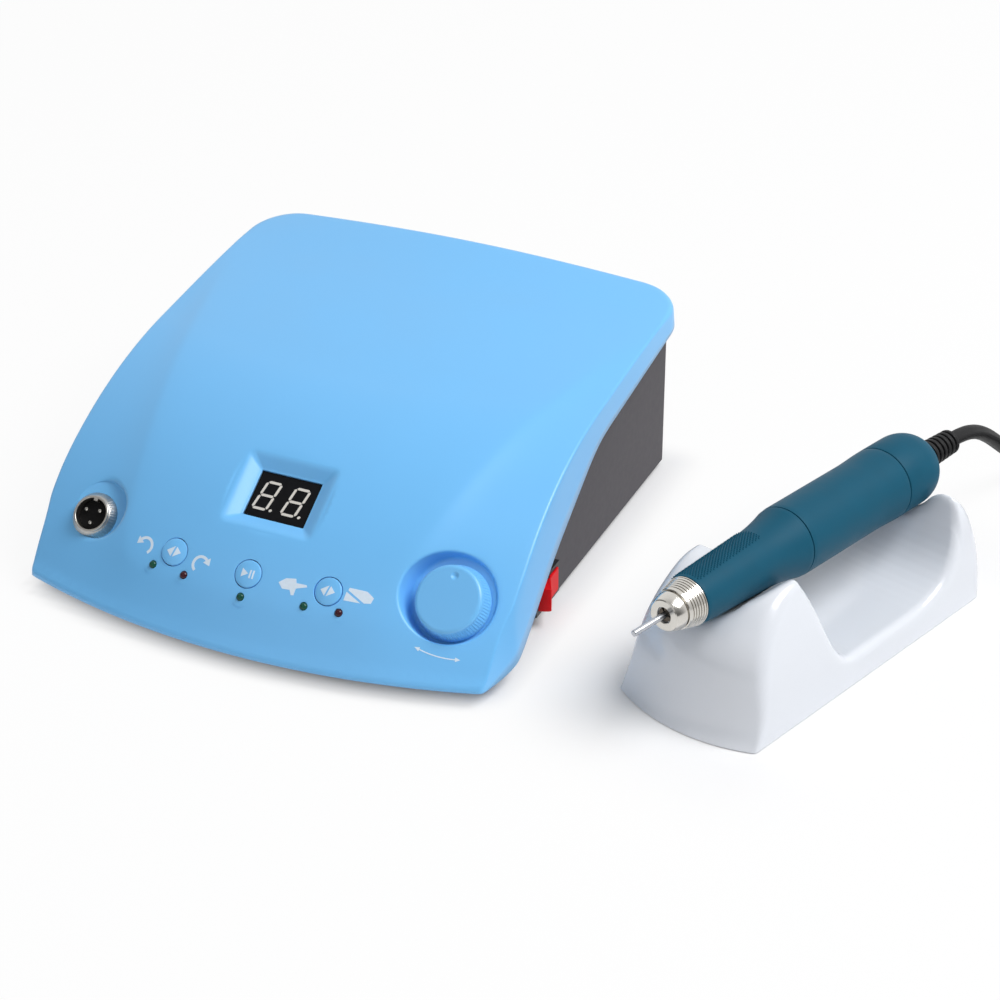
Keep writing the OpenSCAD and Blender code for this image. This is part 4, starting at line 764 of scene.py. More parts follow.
class MICROMOTOR_OT_case(bpy.types.Operator):
    """Finishes the base case, its feet and its screws"""

    bl_idname = "micromotor.case"
    bl_label = "Base Case"

    def execute(self, context):
        dress("matt_grey_case", 0.5, "base_case")
        dress("matt_foot_rubber", 0.5, "rubber_feet")
        dress("turned_steel", 0.25, "case_screws")
        return {"FINISHED"}


KNOB_RIBS = 76
KNOB_RIB_DEPTH = 0.22
DIMPLE_AT = 8.8
DIMPLE_R = 1.6
DIMPLE_DEPTH = 0.7


class MICROMOTOR_OT_knob(bpy.types.Operator):
    """Builds the speed knob with its ribbed edge and its dimple"""

    bl_idname = "micromotor.knob"
    bl_label = "Speed Knob"

    def execute(self, context):
        under = [(0, 6.02), (3.02, 6.02), (3.02, 3.4), (8.5, 3.4), (8.5, 0), (13.4, 0)]
        foot = [(13.9, 0.15), (14.2, 0.45), (14.3, 0.9)]
        side = [(14.3 - 1.4 * t, 0.9 + 5.7 * t) for t in np.linspace(0.04, 1, 12)]
        rim = [(11.2 + 1.7 * math.cos(a), 6.6 + 1.4 * math.sin(a)) for a in np.radians(np.arange(10, 91, 10))]
        inward = [*np.arange(11, 6.5, -0.2), 5, 3.5, 2, 0]
        top = [(r, 8.1 - 0.1 * (r / 11.2) ** 2) for r in inward]

        def ripple(z, turn, radius):
            band = smooth_step(1.0, 1.8, z) * (1 - smooth_step(5.8, 6.7, z)) * (radius > 11)
            return -KNOB_RIB_DEPTH * band * (0.5 + 0.5 * np.cos(KNOB_RIBS * turn))

        points, faces = lathe(under + foot + side + rim + top, KNOB_RIBS * 4, ripple)
        upper = points[:, 2] > 7.9
        gap = np.hypot(points[:, 0], points[:, 1] - DIMPLE_AT) / DIMPLE_R
        points[:, 2] -= np.where(upper, DIMPLE_DEPTH * np.maximum(0, 1 - gap**2) ** 1.5, 0)
        frame = PANEL @ Matrix.Translation((KNOB_SEAT.x, KNOB_SEAT.y, KNOB_FOOT))
        piece("knob_cap", points, faces, frame, "speed_knob", "knob_blue", "satin_blue_shell", 30,
              ["speed_knob"])
        dress("turned_steel", 0, "knob_shaft")
        dress("bright_nickel", 0.2, "potentiometer_nut")
        return {"FINISHED"}


def dressed_seat(seat):
    """A seat moved up or down to the dressed surface, in the panel's frame."""
    return Vector((seat.x, seat.y, float(surface(PANEL_IN_BOX, seat.x, seat.y))))


BUTTON_PROUD = 0.8
BUTTON_CROWN = 20.8


def button_top(seat, flat, lift=0.0):
    """Points of the panel's plane put on a button's crowned top, in the panel's frame."""
    flat = np.asarray(flat, float)
    z = seat.z + BUTTON_PROUD - BUTTON_CROWN + np.sqrt(BUTTON_CROWN**2 - (flat**2).sum(1)) + lift
    return np.column_stack([flat[:, 0] + seat.x, flat[:, 1] + seat.y, z])


class MICROMOTOR_OT_buttons(bpy.types.Operator):
    """Builds the three press buttons, each on its own body"""

    bl_idname = "micromotor.buttons"
    bl_label = "Buttons"

    def execute(self, context):
        for name, place in BUTTON_SEATS.items():
            seat = dressed_seat(place)
            foot = -9.0 - seat.z
            crown = [(r, BUTTON_PROUD - BUTTON_CROWN + math.sqrt(BUTTON_CROWN**2 - r * r))
                     for r in (0, 1, 2, 3, 4, 4.6)]
            edge = [(4.95, 0.16), (5.12, 0.08), (5.18, 0.0), (5.2, -0.15)]
            skirt = [(5.2, -4.8), (6.2, -4.82), (6.2, -6), (2, -6), (2, foot), (0, foot)]
            part = lathe(crown + edge + skirt, 56)
            frame = PANEL @ Matrix.Translation(seat)
            piece(name + "_cap", *part, frame, name, "button_blue", "satin_blue_shell", 40, [name])
        return {"FINISHED"}


class MICROMOTOR_OT_lamps(bpy.types.Operator):
    """Builds the green and the red indicator lamps"""

    bl_idname = "micromotor.lamps"
    bl_label = "Lamps"

    def execute(self, context):
        dome = [(1.5 * math.sin(t), -0.4 + 1.35 * math.cos(t)) for t in np.linspace(0, math.pi / 2, 8)]
        stem = [(1.5, -5), (1.9, -5), (1.9, -6), (0, -6)]
        for colour, seats in (("green", GREEN_SEATS), ("red", RED_SEATS)):
            name = colour + "_lamps"
            part = join([moved(lathe(dome + stem, 28), dressed_seat(seat)) for seat in seats])
            piece(name + "_domes", *part, PANEL, "control_box", "lamp_" + colour, name + "_lens", 40, [name])
        return {"FINISHED"}


BAR_HALF_W = 2.85
BAR_HALF_H = 5.7
BAR_HALF_T = 0.52
BAR_GAP = 0.2
FIGURES_X = (-6.7, 5.2)
FIGURE_LEAN = math.tan(math.radians(10))


def segment_bars():
    """Outlines of one figure eight with its point, slanted, about its own middle."""
    t = BAR_HALF_T
    bars = []
    for y in (-BAR_HALF_H, 0, BAR_HALF_H):
        a = -BAR_HALF_W + BAR_GAP
        b = BAR_HALF_W - BAR_GAP
        bars.append([(a, y), (a + t, y - t), (b - t, y - t), (b, y), (b - t, y + t), (a + t, y + t)])
    for x in (-BAR_HALF_W, BAR_HALF_W):
        for low in (-BAR_HALF_H, 0):
            a = low + BAR_GAP
            b = low + BAR_HALF_H - BAR_GAP
            bars.append([(x, a), (x + t, a + t), (x + t, b - t), (x, b), (x - t, b - t), (x - t, a + t)])
    bars.append(circle(20) * 0.6 + np.array([BAR_HALF_W + 1.9, -BAR_HALF_H + 0.1]))
    return [np.array([(x + FIGURE_LEAN * y, y) for x, y in bar]) for bar in bars]


def slab(outline, low, high):
    """A thin block with a flat outline: points and faces."""
    n = len(outline)
    points = np.concatenate([np.column_stack([outline, np.full(n, low)]),
                             np.column_stack([outline, np.full(n, high)])])
    faces = ring_faces(2, n) + [tuple(range(n - 1, -1, -1)), tuple(range(n, 2 * n))]
    return points, faces


class MICROMOTOR_OT_display(bpy.types.Operator):
    """Finishes the two-figure display and builds its bars"""

    bl_idname = "micromotor.display"
    bl_label = "Display"

    def execute(self, context):
        dress("black_display_face", 0.25, "display_body")
        face_z = -DISPLAY_SINK - 0.8
        parts = []
        for x in FIGURES_X:
            for bar in segment_bars():
                parts.append(slab(bar + np.array([x, 0]), face_z - 0.2, face_z + 0.06))
        piece("display_bars", *join(parts), DISPLAY, "control_box", "segment_white", "white_bars", 30,
              ["display_segments"])
        return {"FINISHED"}


PIN_R = 0.75
PIN_L = 8.0
PIN_FOOT = -4.6
PIN_CIRCLE_R = 3.3
PIN_HALF_SLOT = 0.12


def half_pin(side):
    """One half of a slotted contact pin with a rounded tip."""
    turn = np.linspace(-math.pi / 2, math.pi / 2, 11)
    across = PIN_HALF_SLOT + (PIN_R - PIN_HALF_SLOT) * np.cos(turn)
    loop = np.stack([across, PIN_R * np.sin(turn)], 1) * np.array([side, 1])
    n = len(loop)
    rings = [(1.0, 0), (1.0, PIN_L - 0.35), (0.85, PIN_L - 0.1), (0.55, PIN_L)]
    points = np.concatenate([np.column_stack([loop * s, np.full(n, z)]) for s, z in rings])
    faces = ring_faces(len(rings), n)
    faces.append(tuple(range(n)))
    faces.append(tuple(range(3 * n, 4 * n)))
    return points, faces


class MICROMOTOR_OT_socket(bpy.types.Operator):
    """Builds the motor socket with its rim, key, insert and pins"""

    bl_idname = "micromotor.socket"
    bl_label = "Motor Socket"

    def execute(self, context):
        frame = PANEL @ Matrix.Translation((SOCKET_SEAT.x, SOCKET_SEAT.y, SOCKET_FLOOR))
        outside = [(7.2, -9), (7.2, 0), (9.2, 0), (9.2, 0.8), (8.6, 1.6), (7.9, 2.5), (7.3, 3.3), (7.0, 3.45),
                   (7.0, 3.7), (7.15, 3.8), (7.15, 4.15), (6.9, 4.4)]
        rim = [(6.4, 4.4), (6.2, 4.2), (6.2, -4.6), (7.2, -9)]
        profile = rounded_profile(outside + rim, 0.35, 4)
        key = slab(np.array([(-0.8, 5.2), (0.8, 5.2), (0.9, 6.5), (-0.9, 6.5)]), 1.8, 4.0)

        def ripple(z, turn, radius):
            band = smooth_step(0.7, 1.1, z) * (1 - smooth_step(2.8, 3.3, z)) * (radius > 7.3)
            return 0.09 * band * np.cos(48 * turn)

        part = join([lathe(profile, 192, ripple), key])
        piece("socket_ring", *part, frame, "control_box", "nickel", "brushed_nickel", 35, ["socket_shell"])
        face = [(0, 1.4), (5.7, 1.4), (5.9, 1.2), (6.18, 1.2), (6.18, -4.6), (0, -4.6)]
        part = lathe(rounded_profile(face, 0.12, 3), 64)
        piece("socket_core", *part, frame, "control_box", "black_plastic", "socket_black", 30,
              ["socket_insert"])
        pins = []
        for i in range(3):
            turn = math.radians(35 + 120 * i)
            place = (PIN_CIRCLE_R * math.cos(turn), PIN_CIRCLE_R * math.sin(turn), PIN_FOOT)
            for side in (-1, 1):
                pins.append(moved(half_pin(side), place))
        piece("socket_contacts", *join(pins), frame, "control_box", "nickel", "bright_nickel", 40,
              ["socket_pins"])
        dress("bright_nickel", 0.3, "socket_nut")
        return {"FINISHED"}


class MICROMOTOR_OT_switch(bpy.types.Operator):
    """Finishes the power switch and its rocker"""

    bl_idname = "micromotor.switch"
    bl_label = "Power Switch"

    def execute(self, context):
        dress("moulded_black", 0.4, "switch_body")
        dress("red_rocker", 0.35, "power_rocker")
        return {"FINISHED"}


class MICROMOTOR_OT_back(bpy.types.Operator):
    """Finishes the mains inlet, the fuse and the foot jack"""

    bl_idname = "micromotor.back"
    bl_label = "Back Fittings"

    def execute(self, context):
        dress("moulded_black", 0.4, "mains_inlet", "fuse_holder", "foot_jack")
        dress("plated_brass", 0.2, "inlet_pins")
        dress("turned_steel", 0.2, "inlet_screws")
        dress("bright_nickel", 0.3, "foot_jack_nut")
        return {"FINISHED"}


class MICROMOTOR_OT_inside(bpy.types.Operator):
    """Finishes what is inside the box and the handpiece"""

    bl_idname = "micromotor.inside"
    bl_label = "Inner Parts"

    def execute(self, context):
        dress("green_board", 0, "power_board", "panel_board", "display_board")
        dress("core_laminations", 0, "transformer_core")
        dress("copper_winding", 0, "transformer_winding", "rotor")
        dress("sink_aluminium", 0, "heat_sink")
        dress("blue_sleeve", 0, "filter_capacitors")
        dress("dark_magnet", 0, "magnet_ring")
        dress("brush_carbon", 0, "carbon_brushes")
        dress("moulded_black", 0, "power_transistors", "tact_switches", "brush_plate")
        dress("turned_steel", 0, "transformer_strap", "strap_screws", "board_screws", "potentiometer_body",
              "bearings", "front_housing", "release_ring", "spindle")
        return {"FINISHED"}


# Cradle

CRADLE_L = 138
CRADLE_HALF_W = 30.8
CRADLE_WIDENING = 0.026
CRADLE_LEAN = 0.23
CRADLE_BULGE = 2.6
CRADLE_BULGE_H = 50
CRADLE_FRONT_LEAN = 0.577
CRADLE_SHOULDER = 8.5
CRADLE_FAR_WIDTH = 5
CRADLE_FAR_DROP = 3
CRADLE_BOW = 7.7
CRADLE_GAP = 0.4
CRADLE_WALL = 3
CRADLE_HOLLOW_H = 30
FRONT_HORN_Z = 51
REAR_HORN_Z = 46.2
BED_Z = 12
FAR_SIDE = (6, 18)
BACK_CURVE = 0.006
BACK_CURVE_Z = 14
BACK_BLEND = 12
SIDE_BLEND = 3.5
RESTS_PART = 75
FRONT_REST_FADE = (45, 75)
FRONT_REST_R = 11.45
FRONT_REST_BLEND = 3.5
FRONT_FLARE = 0.8
REAR_REST_FADE = (105, 125)
REAR_REST_R = 14.6
REAR_REST_BLEND = 5
REAR_FLARE = 0.35
FLARE_DEPTH = 6
POST_V = (14, CRADLE_L - 9)
POST_INSET = 6.5
POST_R = 5
POST_H = 11


def soft_max(a, b, k):
    """The larger of two fields, blended over k where they meet."""
    return np.maximum(a, b) + np.maximum(k - np.abs(a - b), 0) ** 2 / (4 * k)


def pulled(a, b, c, d, n):
    """Points of the curve from a to d that b and c pull."""
    t = np.linspace(0, 1, n)[:, None]
    s = 1 - t
    return s**3 * np.array(a) + 3 * s**2 * t * np.array(b) + 3 * s * t**2 * np.array(c) + t**3 * np.array(d)


CRADLE_RIM = np.concatenate([
    [(-40, FRONT_HORN_Z)],
    pulled((36, FRONT_HORN_Z), (45, 36), (45, BED_Z), (60, BED_Z), 14),
    pulled((94, BED_Z), (114, BED_Z), (126, 20), (127.5, 44), 14),
    [(129, REAR_HORN_Z), (170, REAR_HORN_Z)],
])


def rim_z(v):
    """Height of the cradle's rim over its length."""
    return np.interp(v, CRADLE_RIM[:, 0], CRADLE_RIM[:, 1])


def cradle_field(u, v, z):
    """Below nought inside the cradle's outer form, in millimetres of the cradle's frame."""
    far = smooth_step(*FAR_SIDE, -u)
    front_rest = 1 - smooth_step(*FRONT_REST_FADE, v)
    rear_rest = smooth_step(*REAR_REST_FADE, v)
    slope = rim_z(v + 0.5) - rim_z(v - 0.5)
    top = (z - rim_z(v) + CRADLE_FAR_DROP * far * (front_rest + rear_rest)) / np.sqrt(1 + slope**2)
    back = v - CRADLE_L + BACK_CURVE * np.maximum(z - BACK_CURVE_Z, 0) ** 2
    share = np.clip(z / CRADLE_BULGE_H, 0, 1)
    half = CRADLE_HALF_W + CRADLE_WIDENING * v - CRADLE_LEAN * z + 4 * CRADLE_BULGE * share * (1 - share)
    half += CRADLE_FAR_WIDTH * far * front_rest * share**3
    side = (np.abs(u) - half) / math.hypot(1, CRADLE_LEAN)
    front_r = (CRADLE_HALF_W**2 + CRADLE_BOW**2) / (2 * CRADLE_BOW)
    middle = front_r - CRADLE_BOW
    # The shoulder's curve is one at two thirds of the height and nought at both ends
    set_back = CRADLE_FRONT_LEAN * z - CRADLE_SHOULDER * 6.75 * share**2 * (1 - share)
    front = np.hypot(u, np.minimum(v - middle, 0)) - front_r + set_back
    front /= math.hypot(1, CRADLE_FRONT_LEAN)
    axis = NOSE.z - math.tan(TAIL_DROP) * (v - NOSE.y)
    in_front = v < RESTS_PART
    flare = np.where(in_front, FRONT_FLARE, REAR_FLARE) * np.maximum(z - axis + FLARE_DEPTH, 0)
    room = np.hypot(u, np.minimum(z - axis, 0)) - np.where(in_front, FRONT_REST_R, REAR_REST_R) - flare
    outer = soft_max(soft_max(top, back, BACK_BLEND), side, SIDE_BLEND)
    outer = soft_max(outer, front, 1 + 4 * share)
    return soft_max(outer, -room, np.where(in_front, FRONT_REST_BLEND, REAR_REST_BLEND))


def surface_net(field, low, step):
    """Points and faces of a grid field's zero surface: one point for each cell that it crosses."""
    cells = tuple(n - 1 for n in field.shape)
    total = np.zeros(cells + (3,))
    count = np.zeros(cells)
    crossings = []
    for axis in range(3):
        lower = tuple(slice(None, -1) if k == axis else slice(None) for k in range(3))
        upper = tuple(slice(1, None) if k == axis else slice(None) for k in range(3))
        a = field[lower]
        b = field[upper]
        crosses = (a < 0) != (b < 0)
        at = np.stack(np.indices(a.shape), -1).astype(float)
        at[..., axis] += np.where(crosses, a / np.where(a == b, 1, a - b), 0)
        others = [k for k in range(3) if k != axis]
        for shift in ((0, 0), (0, 1), (1, 0), (1, 1)):
            cut = [slice(None)] * 3
            for k, by in zip(others, shift):
                cut[k] = slice(by, by + cells[k])
            cut = tuple(cut)
            total += at[cut] * crosses[cut][..., None]
            count += crosses[cut]
        crossings.append((others, crosses))
    used = count > 0
    names = np.full(cells, -1)
    names[used] = np.arange(used.sum())
    points = np.asarray(low) + step * total[used] / count[used][:, None]
    faces = []
    for (p, q), crosses in crossings:
        spots = np.argwhere(crosses)
        inner = (spots[:, p] > 0) & (spots[:, q] > 0)
        inner &= (spots[:, p] < cells[p]) & (spots[:, q] < cells[q])
        spots = spots[inner]
        ring = []
        for by in ((1, 1), (0, 1), (0, 0), (1, 0)):
            cell = spots.copy()
            cell[:, p] -= by[0]
            cell[:, q] -= by[1]
            ring.append(names[cell[:, 0], cell[:, 1], cell[:, 2]])
        faces += np.stack(ring, 1).tolist()
    return points, faces


def on_foot_line(points):
    """Points near the cradle's lower edge put on the line where its outside meets its foot."""
    at = points.copy()
    at[:, 2] = CRADLE_GAP
    for _ in range(4):
        form = cradle_field(*at.T)
        slope = np.stack([cradle_field(*(at + by).T) - form for by in 0.01 * np.eye(3)[:2]], 1) / 0.01
        at[:, :2] -= (form / (slope**2).sum(1))[:, None] * slope
    return at


class MICROMOTOR_OT_cradle(bpy.types.Operator):
    """Builds the cradle with its two rests, hollow from below"""

    bl_idname = "micromotor.cradle"
    bl_label = "Cradle"

    def execute(self, context):
        step = context.scene.micromotor_cradle.mesh_step / MM
        low = np.array([-40, -12, -1.0])
        high = (40, 143, 54)
        lines = [np.arange(a, b, step) for a, b in zip(low, high)]
        u, v, z = np.meshgrid(*lines, indexing="ij")
        form = cradle_field(u, v, z)
        hollow = soft_max(form + CRADLE_WALL, z - CRADLE_HOLLOW_H, 4)
        field = np.maximum(np.maximum(form, -hollow), CRADLE_GAP - z)
        for v_at in POST_V:
            for side in (-1, 1):
                u_at = side * (CRADLE_HALF_W + CRADLE_WIDENING * v_at - POST_INSET)
                post = np.maximum(np.hypot(u - u_at, v - v_at) - POST_R, z - POST_H)
                field = np.minimum(field, np.maximum(np.maximum(post, form), CRADLE_GAP - z))
        points, faces = surface_net(field, low, step)
        edge = (np.abs(points[:, 2] - CRADLE_GAP) < 0.7 * step) & (np.abs(cradle_field(*points.T)) < step)
        points[edge] = on_foot_line(points[edge])
        piece("cradle_body", points, faces, CRADLE, "control_box", "cradle_white", "gloss_white_cradle", 60,
              ["cradle_shell"])
        dress("cradle_pads", 0, "cradle_feet")
        return {"FINISHED"}


# Handpiece, turned about its own axis, with lengths from its nose

SLEEVE_START = 13.5
SLEEVE_END = 69.8
SLEEVE_FRONT_R = 9.5
SLEEVE_REAR_R = 13.8
SLEEVE_TAPER = 0.042
SLEEVE_FLARE_L = 18.7
MOTOR_START = 70.1
MOTOR_END = 130.8
MOTOR_FLARE_L = 16
MOTOR_BORE_R = 11.6
CAP_START = 131.1
CAP_DOME = 145
CAP_END = 157
CAP_HOLE_R = 6
BODY_R = 14.3
BOOT_TIP = 178.1
BOOT_RIBS = 7
TURNED_SIDES = 120

# The grip's points: the length, arc and turn that they cover, their spacing, and the size of one
GRIP_SPAN = (15.2, 52)
GRIP_HALF_ARC = 6.4
GRIP_TURN = -math.pi / 2 - 0.4
GRIP_ROW_STEP = 0.95
GRIP_PITCH = 1.15
POINT_HALF_W = 0.5
POINT_HALF_L = 0.43
POINT_H = 0.55
POINT_SINK = 0.05


def sleeve_r(w):
    """Radius of the grip sleeve at length w."""
    straight = SLEEVE_FRONT_R + SLEEVE_TAPER * (w - SLEEVE_START)
    wanting = SLEEVE_REAR_R - SLEEVE_FRONT_R - SLEEVE_TAPER * (SLEEVE_END - SLEEVE_START)
    flare = np.maximum(0, (w - SLEEVE_END + SLEEVE_FLARE_L) / SLEEVE_FLARE_L)
    return straight + wanting * flare**2


def motor_r(w):
    """Radius of the motor case at length w."""
    return SLEEVE_REAR_R + (BODY_R - SLEEVE_REAR_R) * smooth_step(MOTOR_END - MOTOR_FLARE_L, MOTOR_END, w)


def softened_ends(outside, cut=0.55):
    """A turned outside with small round edges at both ends."""
    first = outside[0]
    last = outside[-1]
    start = [(first[0] - cut, first[1]), (first[0] - cut * 0.3, first[1] + cut * 0.3)]
    end = [(last[0] - cut * 0.3, last[1] - cut * 0.3), (last[0] - cut, last[1])]
    inner = [(r, w) for r, w in outside if first[1] + cut < w < last[1] - cut]
    return start + inner + end


class MICROMOTOR_OT_handpiece(bpy.types.Operator):
    """Builds the turned pieces of the handpiece"""

    bl_idname = "micromotor.handpiece"
    bl_label = "Handpiece"

    def execute(self, context):
        self.teal("grip_sleeve", "chuck_sleeve", self.sleeve())
        self.teal("motor_case", "handpiece", self.motor())
        self.teal("rear_cap", "handpiece", self.cap())
        self.nose()
        self.grip()
        self.boot()
        self.chuck()
        return {"FINISHED"}

    def teal(self, node, body, profile):
        """A turned piece in the handpiece's own colour, in place of a node."""
        piece(node + "_turned", *lathed_ring(profile, TURNED_SIDES), HANDPIECE, body, "teal_metal",
              "teal_satin", 35, [node])

    def sleeve(self):
        """Profile of the grip sleeve with the room inside it."""
        outside = [(float(sleeve_r(w)), w) for w in np.linspace(SLEEVE_START, SLEEVE_END, 60)]
        room = [(8.05, SLEEVE_END), (8.05, 63.9), (10.7, 63.9), (10.7, 51.9), (8.05, 51.9), (8.05, 13.5)]
        return softened_ends(outside) + room

    def motor(self):
        """Profile of the motor case."""
        outside = [(float(motor_r(w)), w) for w in np.linspace(MOTOR_START, MOTOR_END, 50)]
        return softened_ends(outside) + [(MOTOR_BORE_R, MOTOR_END), (MOTOR_BORE_R, MOTOR_START)]

    def cap(self):
        """Profile of the rear cap with its dome."""
        outside = [(BODY_R - 0.55, CAP_START), (BODY_R - 0.17, CAP_START + 0.17), (BODY_R, CAP_START + 0.6)]
        for t in np.linspace(0, math.pi / 2, 24):
            r = CAP_HOLE_R + (BODY_R - CAP_HOLE_R) * math.cos(t)
            outside.append((r, CAP_DOME + (CAP_END - CAP_DOME) * math.sin(t)))
        return outside + [(4.6, CAP_END), (4.6, 151), (8, 151), (12.2, 143), (12.2, CAP_START)]

    def nose(self):
        """The bright collar at the front, with its six grooves."""
        tip = [(3.9, 0.85), (3.05, 0.75), (3.0, 0.2), (3.2, 0.0), (5.5, 0.0), (5.9, 0.25), (6.3, 1.0),
               (6.8, 2.4), (7.15, 3.8), (7.2, 4.5), (7.0, 4.7)]
        waist = [(6.5, 4.75), (6.5, 5.4)]
        bands = [(7.3, 5.4), (7.6, 5.6)]
        for i in range(6):
            low = 6.9 + 1.1 * i
            r = 7.85 + 0.25 * i
            bands += [(r, low), (r - 0.3, low + 0.06), (r - 0.3, low + 0.3), (r + 0.12, low + 0.38)]
        back = [(9.3, 13.1), (9.2, 13.2), (7.22, 13.2), (7.22, 9.0), (3.9, 9.0)]
        piece("nose_collar_turned", *lathed_ring(tip + waist + bands + back, 96), HANDPIECE, "handpiece",
              "nickel", "bright_nickel", 28, ["nose_collar"])

    def chuck(self):
        """Three jaws round the shank of the mandrel."""
        jaws = []
        for i in range(3):
            turn = np.radians(np.linspace(120 * i + 12, 120 * i + 108, 13))
            way = np.stack([np.cos(turn), np.sin(turn)], 1)
            jaws.append(slab(np.concatenate([2.68 * way, 1.22 * way[::-1]]), 1.0, 19.2))
        # The jaws' steel carries painted shade of the hole in the nose that they sit in
        piece("collet_jaws", *join(jaws), HANDPIECE, "rotating_shaft", "steel", "dark_jaw_steel", 35,
              ["collet"])
        pin = [(0, -16.5), (0.85, -16.5), (1.1, -16.3), (1.175, -16), (1.175, 15.9), (0, 16)]
        piece("mandrel_pin", *lathe(pin, 40), HANDPIECE, "rotating_shaft", "steel", "turned_steel", 35)

    def grip(self):
        """Small pyramids of the grip on top of the sleeve."""
        faces = [(0, 1, 4), (1, 2, 4), (2, 3, 4), (3, 0, 4), (3, 2, 1, 0)]
        parts = []
        for row, w in enumerate(np.arange(*GRIP_SPAN, GRIP_ROW_STEP)):
            r = float(sleeve_r(w))
            span = GRIP_HALF_ARC / r
            for k in np.arange(-span, span, GRIP_PITCH / r):
                turn = GRIP_TURN + k + (GRIP_PITCH / 2 / r if row % 2 else 0)
                up = np.array([math.cos(turn), math.sin(turn), 0])
                side = np.array([-math.sin(turn), math.cos(turn), 0]) * POINT_HALF_W
                along = np.array([0, 0, POINT_HALF_L])
                foot = up * (r - POINT_SINK) + np.array([0, 0, w])
                tip = foot + up * POINT_H
                parts.append(([foot + side, foot + along, foot - side, foot - along, tip], faces))
        piece("grip_points", *join(parts), HANDPIECE, "chuck_sleeve", "teal_metal", "teal_satin", 20)

    def boot(self):
        """The ribbed boot where the cord leaves the cap."""
        start = CAP_END + 1
        step = (BOOT_TIP - CAP_END - 1) / BOOT_RIBS
        profile = [(0, 148), (6, 148), (6, 150.6), (4.5, 150.6), (4.5, CAP_END), (5.6, CAP_END + 0.1),
                   (5.6, start)]
        for i in range(BOOT_RIBS):
            low = start + step * i
            r = 5.5 - 0.1 * i
            profile += [(r - 1.1, low + 0.1), (r - 1.1, low + 0.35 * step)]
            profile += [(r, low + 0.42 * step), (r, low + step)]
        profile += [(3.2, BOOT_TIP), (0, BOOT_TIP)]
        piece("cord_boot_ribbed", *lathe(rounded_profile(profile, 0.3, 4), 48), HANDPIECE, "handpiece",
              "cord_black", "black_cord", 50, ["cord_boot"])


# Cord, in the cradle's frame

LEAD_POINTS = ((0, 168, 44), (0, 176, 42.3), (0, 184, 38.8), (0, 192, 33.5), (0, 200, 27), (0, 208, 20.4),
               (0, 216, 14.4), (0, 224, 9.6), (0, 232, 6.3), (0, 240, 4.5), (0, 248, 4))
TAIL_POINTS = ((0, -7, 10.4), (0, -14, 10), (0, -21, 9.6), (0, -27, 9.4), (0, -33, 9.4))
COIL_TURNS = 6.5
COIL_PITCH = 6.45
COIL_OUT_R = 34.5 + COIL_PITCH * COIL_TURNS / 4
COIL_AT = (COIL_OUT_R, 254)
COIL_Z = 4
COIL_STEPS = 40
CORD_START = 178.3


def coil_point(a):
    """Point of the coil after a turns: inward below, up at half way, and outward on top."""
    half = COIL_TURNS / 2
    climb = smooth_step(half - 0.25, half + 0.25, a)
    r = COIL_OUT_R - COIL_PITCH * (half - abs(a - half))
    turn = math.pi - 2 * math.pi * a
    return (COIL_AT[0] + r * math.cos(turn), COIL_AT[1] + r * math.sin(turn), COIL_Z + COIL_PITCH * climb)


def through(points, steps):
    """A smooth line through points, with steps to each stretch."""
    p = np.asarray(points, float)
    p = np.concatenate([2 * p[:1] - p[1:2], p, 2 * p[-1:] - p[-2:-1]])
    out = []
    for i in range(1, len(p) - 2):
        for t in np.linspace(0, 1, steps, endpoint=False):
            a, b, c, d = p[i - 1:i + 3]
            out.append(0.5 * (2 * b + (c - a) * t + (2 * a - 5 * b + 4 * c - d) * t**2
                              + (3 * b - a - 3 * c + d) * t**3))
    out.append(p[-2])
    return np.array(out)


def cord_path():
    """The cord's middle line in the cradle's millimetres."""
    tail = Vector((0, math.cos(TAIL_DROP), -math.sin(TAIL_DROP)))
    lead = through([NOSE + CORD_START * tail] + [Vector(p) for p in LEAD_POINTS], 4)
    count = int(COIL_TURNS * COIL_STEPS)
    coil = np.array([coil_point(i / COIL_STEPS) for i in range(count + 1)])
    end = coil[-1]
    free = [(end[0] + x, end[1] + y, z) for x, y, z in TAIL_POINTS]
    last = through(np.concatenate([coil[-1:], np.array(free)]), 3)[1:]
    return np.concatenate([lead, coil, last])


def tube(path, section):
    """A tube of a given section along a path, closed at both ends."""
    n = len(section)
    way = np.gradient(path, axis=0)
    way /= np.linalg.norm(way, axis=1)[:, None]
    side = np.cross(way, np.array([0, 0, 1.0]))
    side /= np.linalg.norm(side, axis=1)[:, None]
    up = np.cross(side, way)
    rings = path[:, None, :] + section[None, :, :1] * side[:, None, :] + section[None, :, 1:] * up[:, None, :]
    faces = ring_faces(len(path), n)
    faces.append(tuple(range(n)))
    faces.append(tuple(range((len(path) - 1) * n, len(path) * n)))
    return rings.reshape(-1, 3), faces


class MICROMOTOR_OT_cord(bpy.types.Operator):
    """Builds the handpiece's cord and finishes its tie and its plug"""

    bl_idname = "micromotor.cord"
    bl_label = "Cord"

    def execute(self, context):
        look = context.scene.micromotor_handpiece
        path = cord_path()
        turn = np.linspace(0, 2 * np.pi, 24, endpoint=False)
        lobes = 0.86 + 0.14 * np.abs(np.cos(1.5 * turn + 0.4)) ** 0.7
        section = circle(24) * lobes[:, None] * look.cord_width / MM / 2
        obj = piece("handpiece_cord", *tube(path, section), CRADLE, None, "cord_black", "black_cord", 60)
        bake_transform(obj)
        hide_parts("cord_lead", "cord_coil")
        dress("moulded_black", 0.2, "cord_tie")
        dress("bright_nickel", 0.4, "plug_body")
        dress("bright_nickel", 0.3, "plug_ring")
        return {"FINISHED"}


# Printed marks

PRINT_LIFT = 0.05
PRINT_FOOT = -0.1


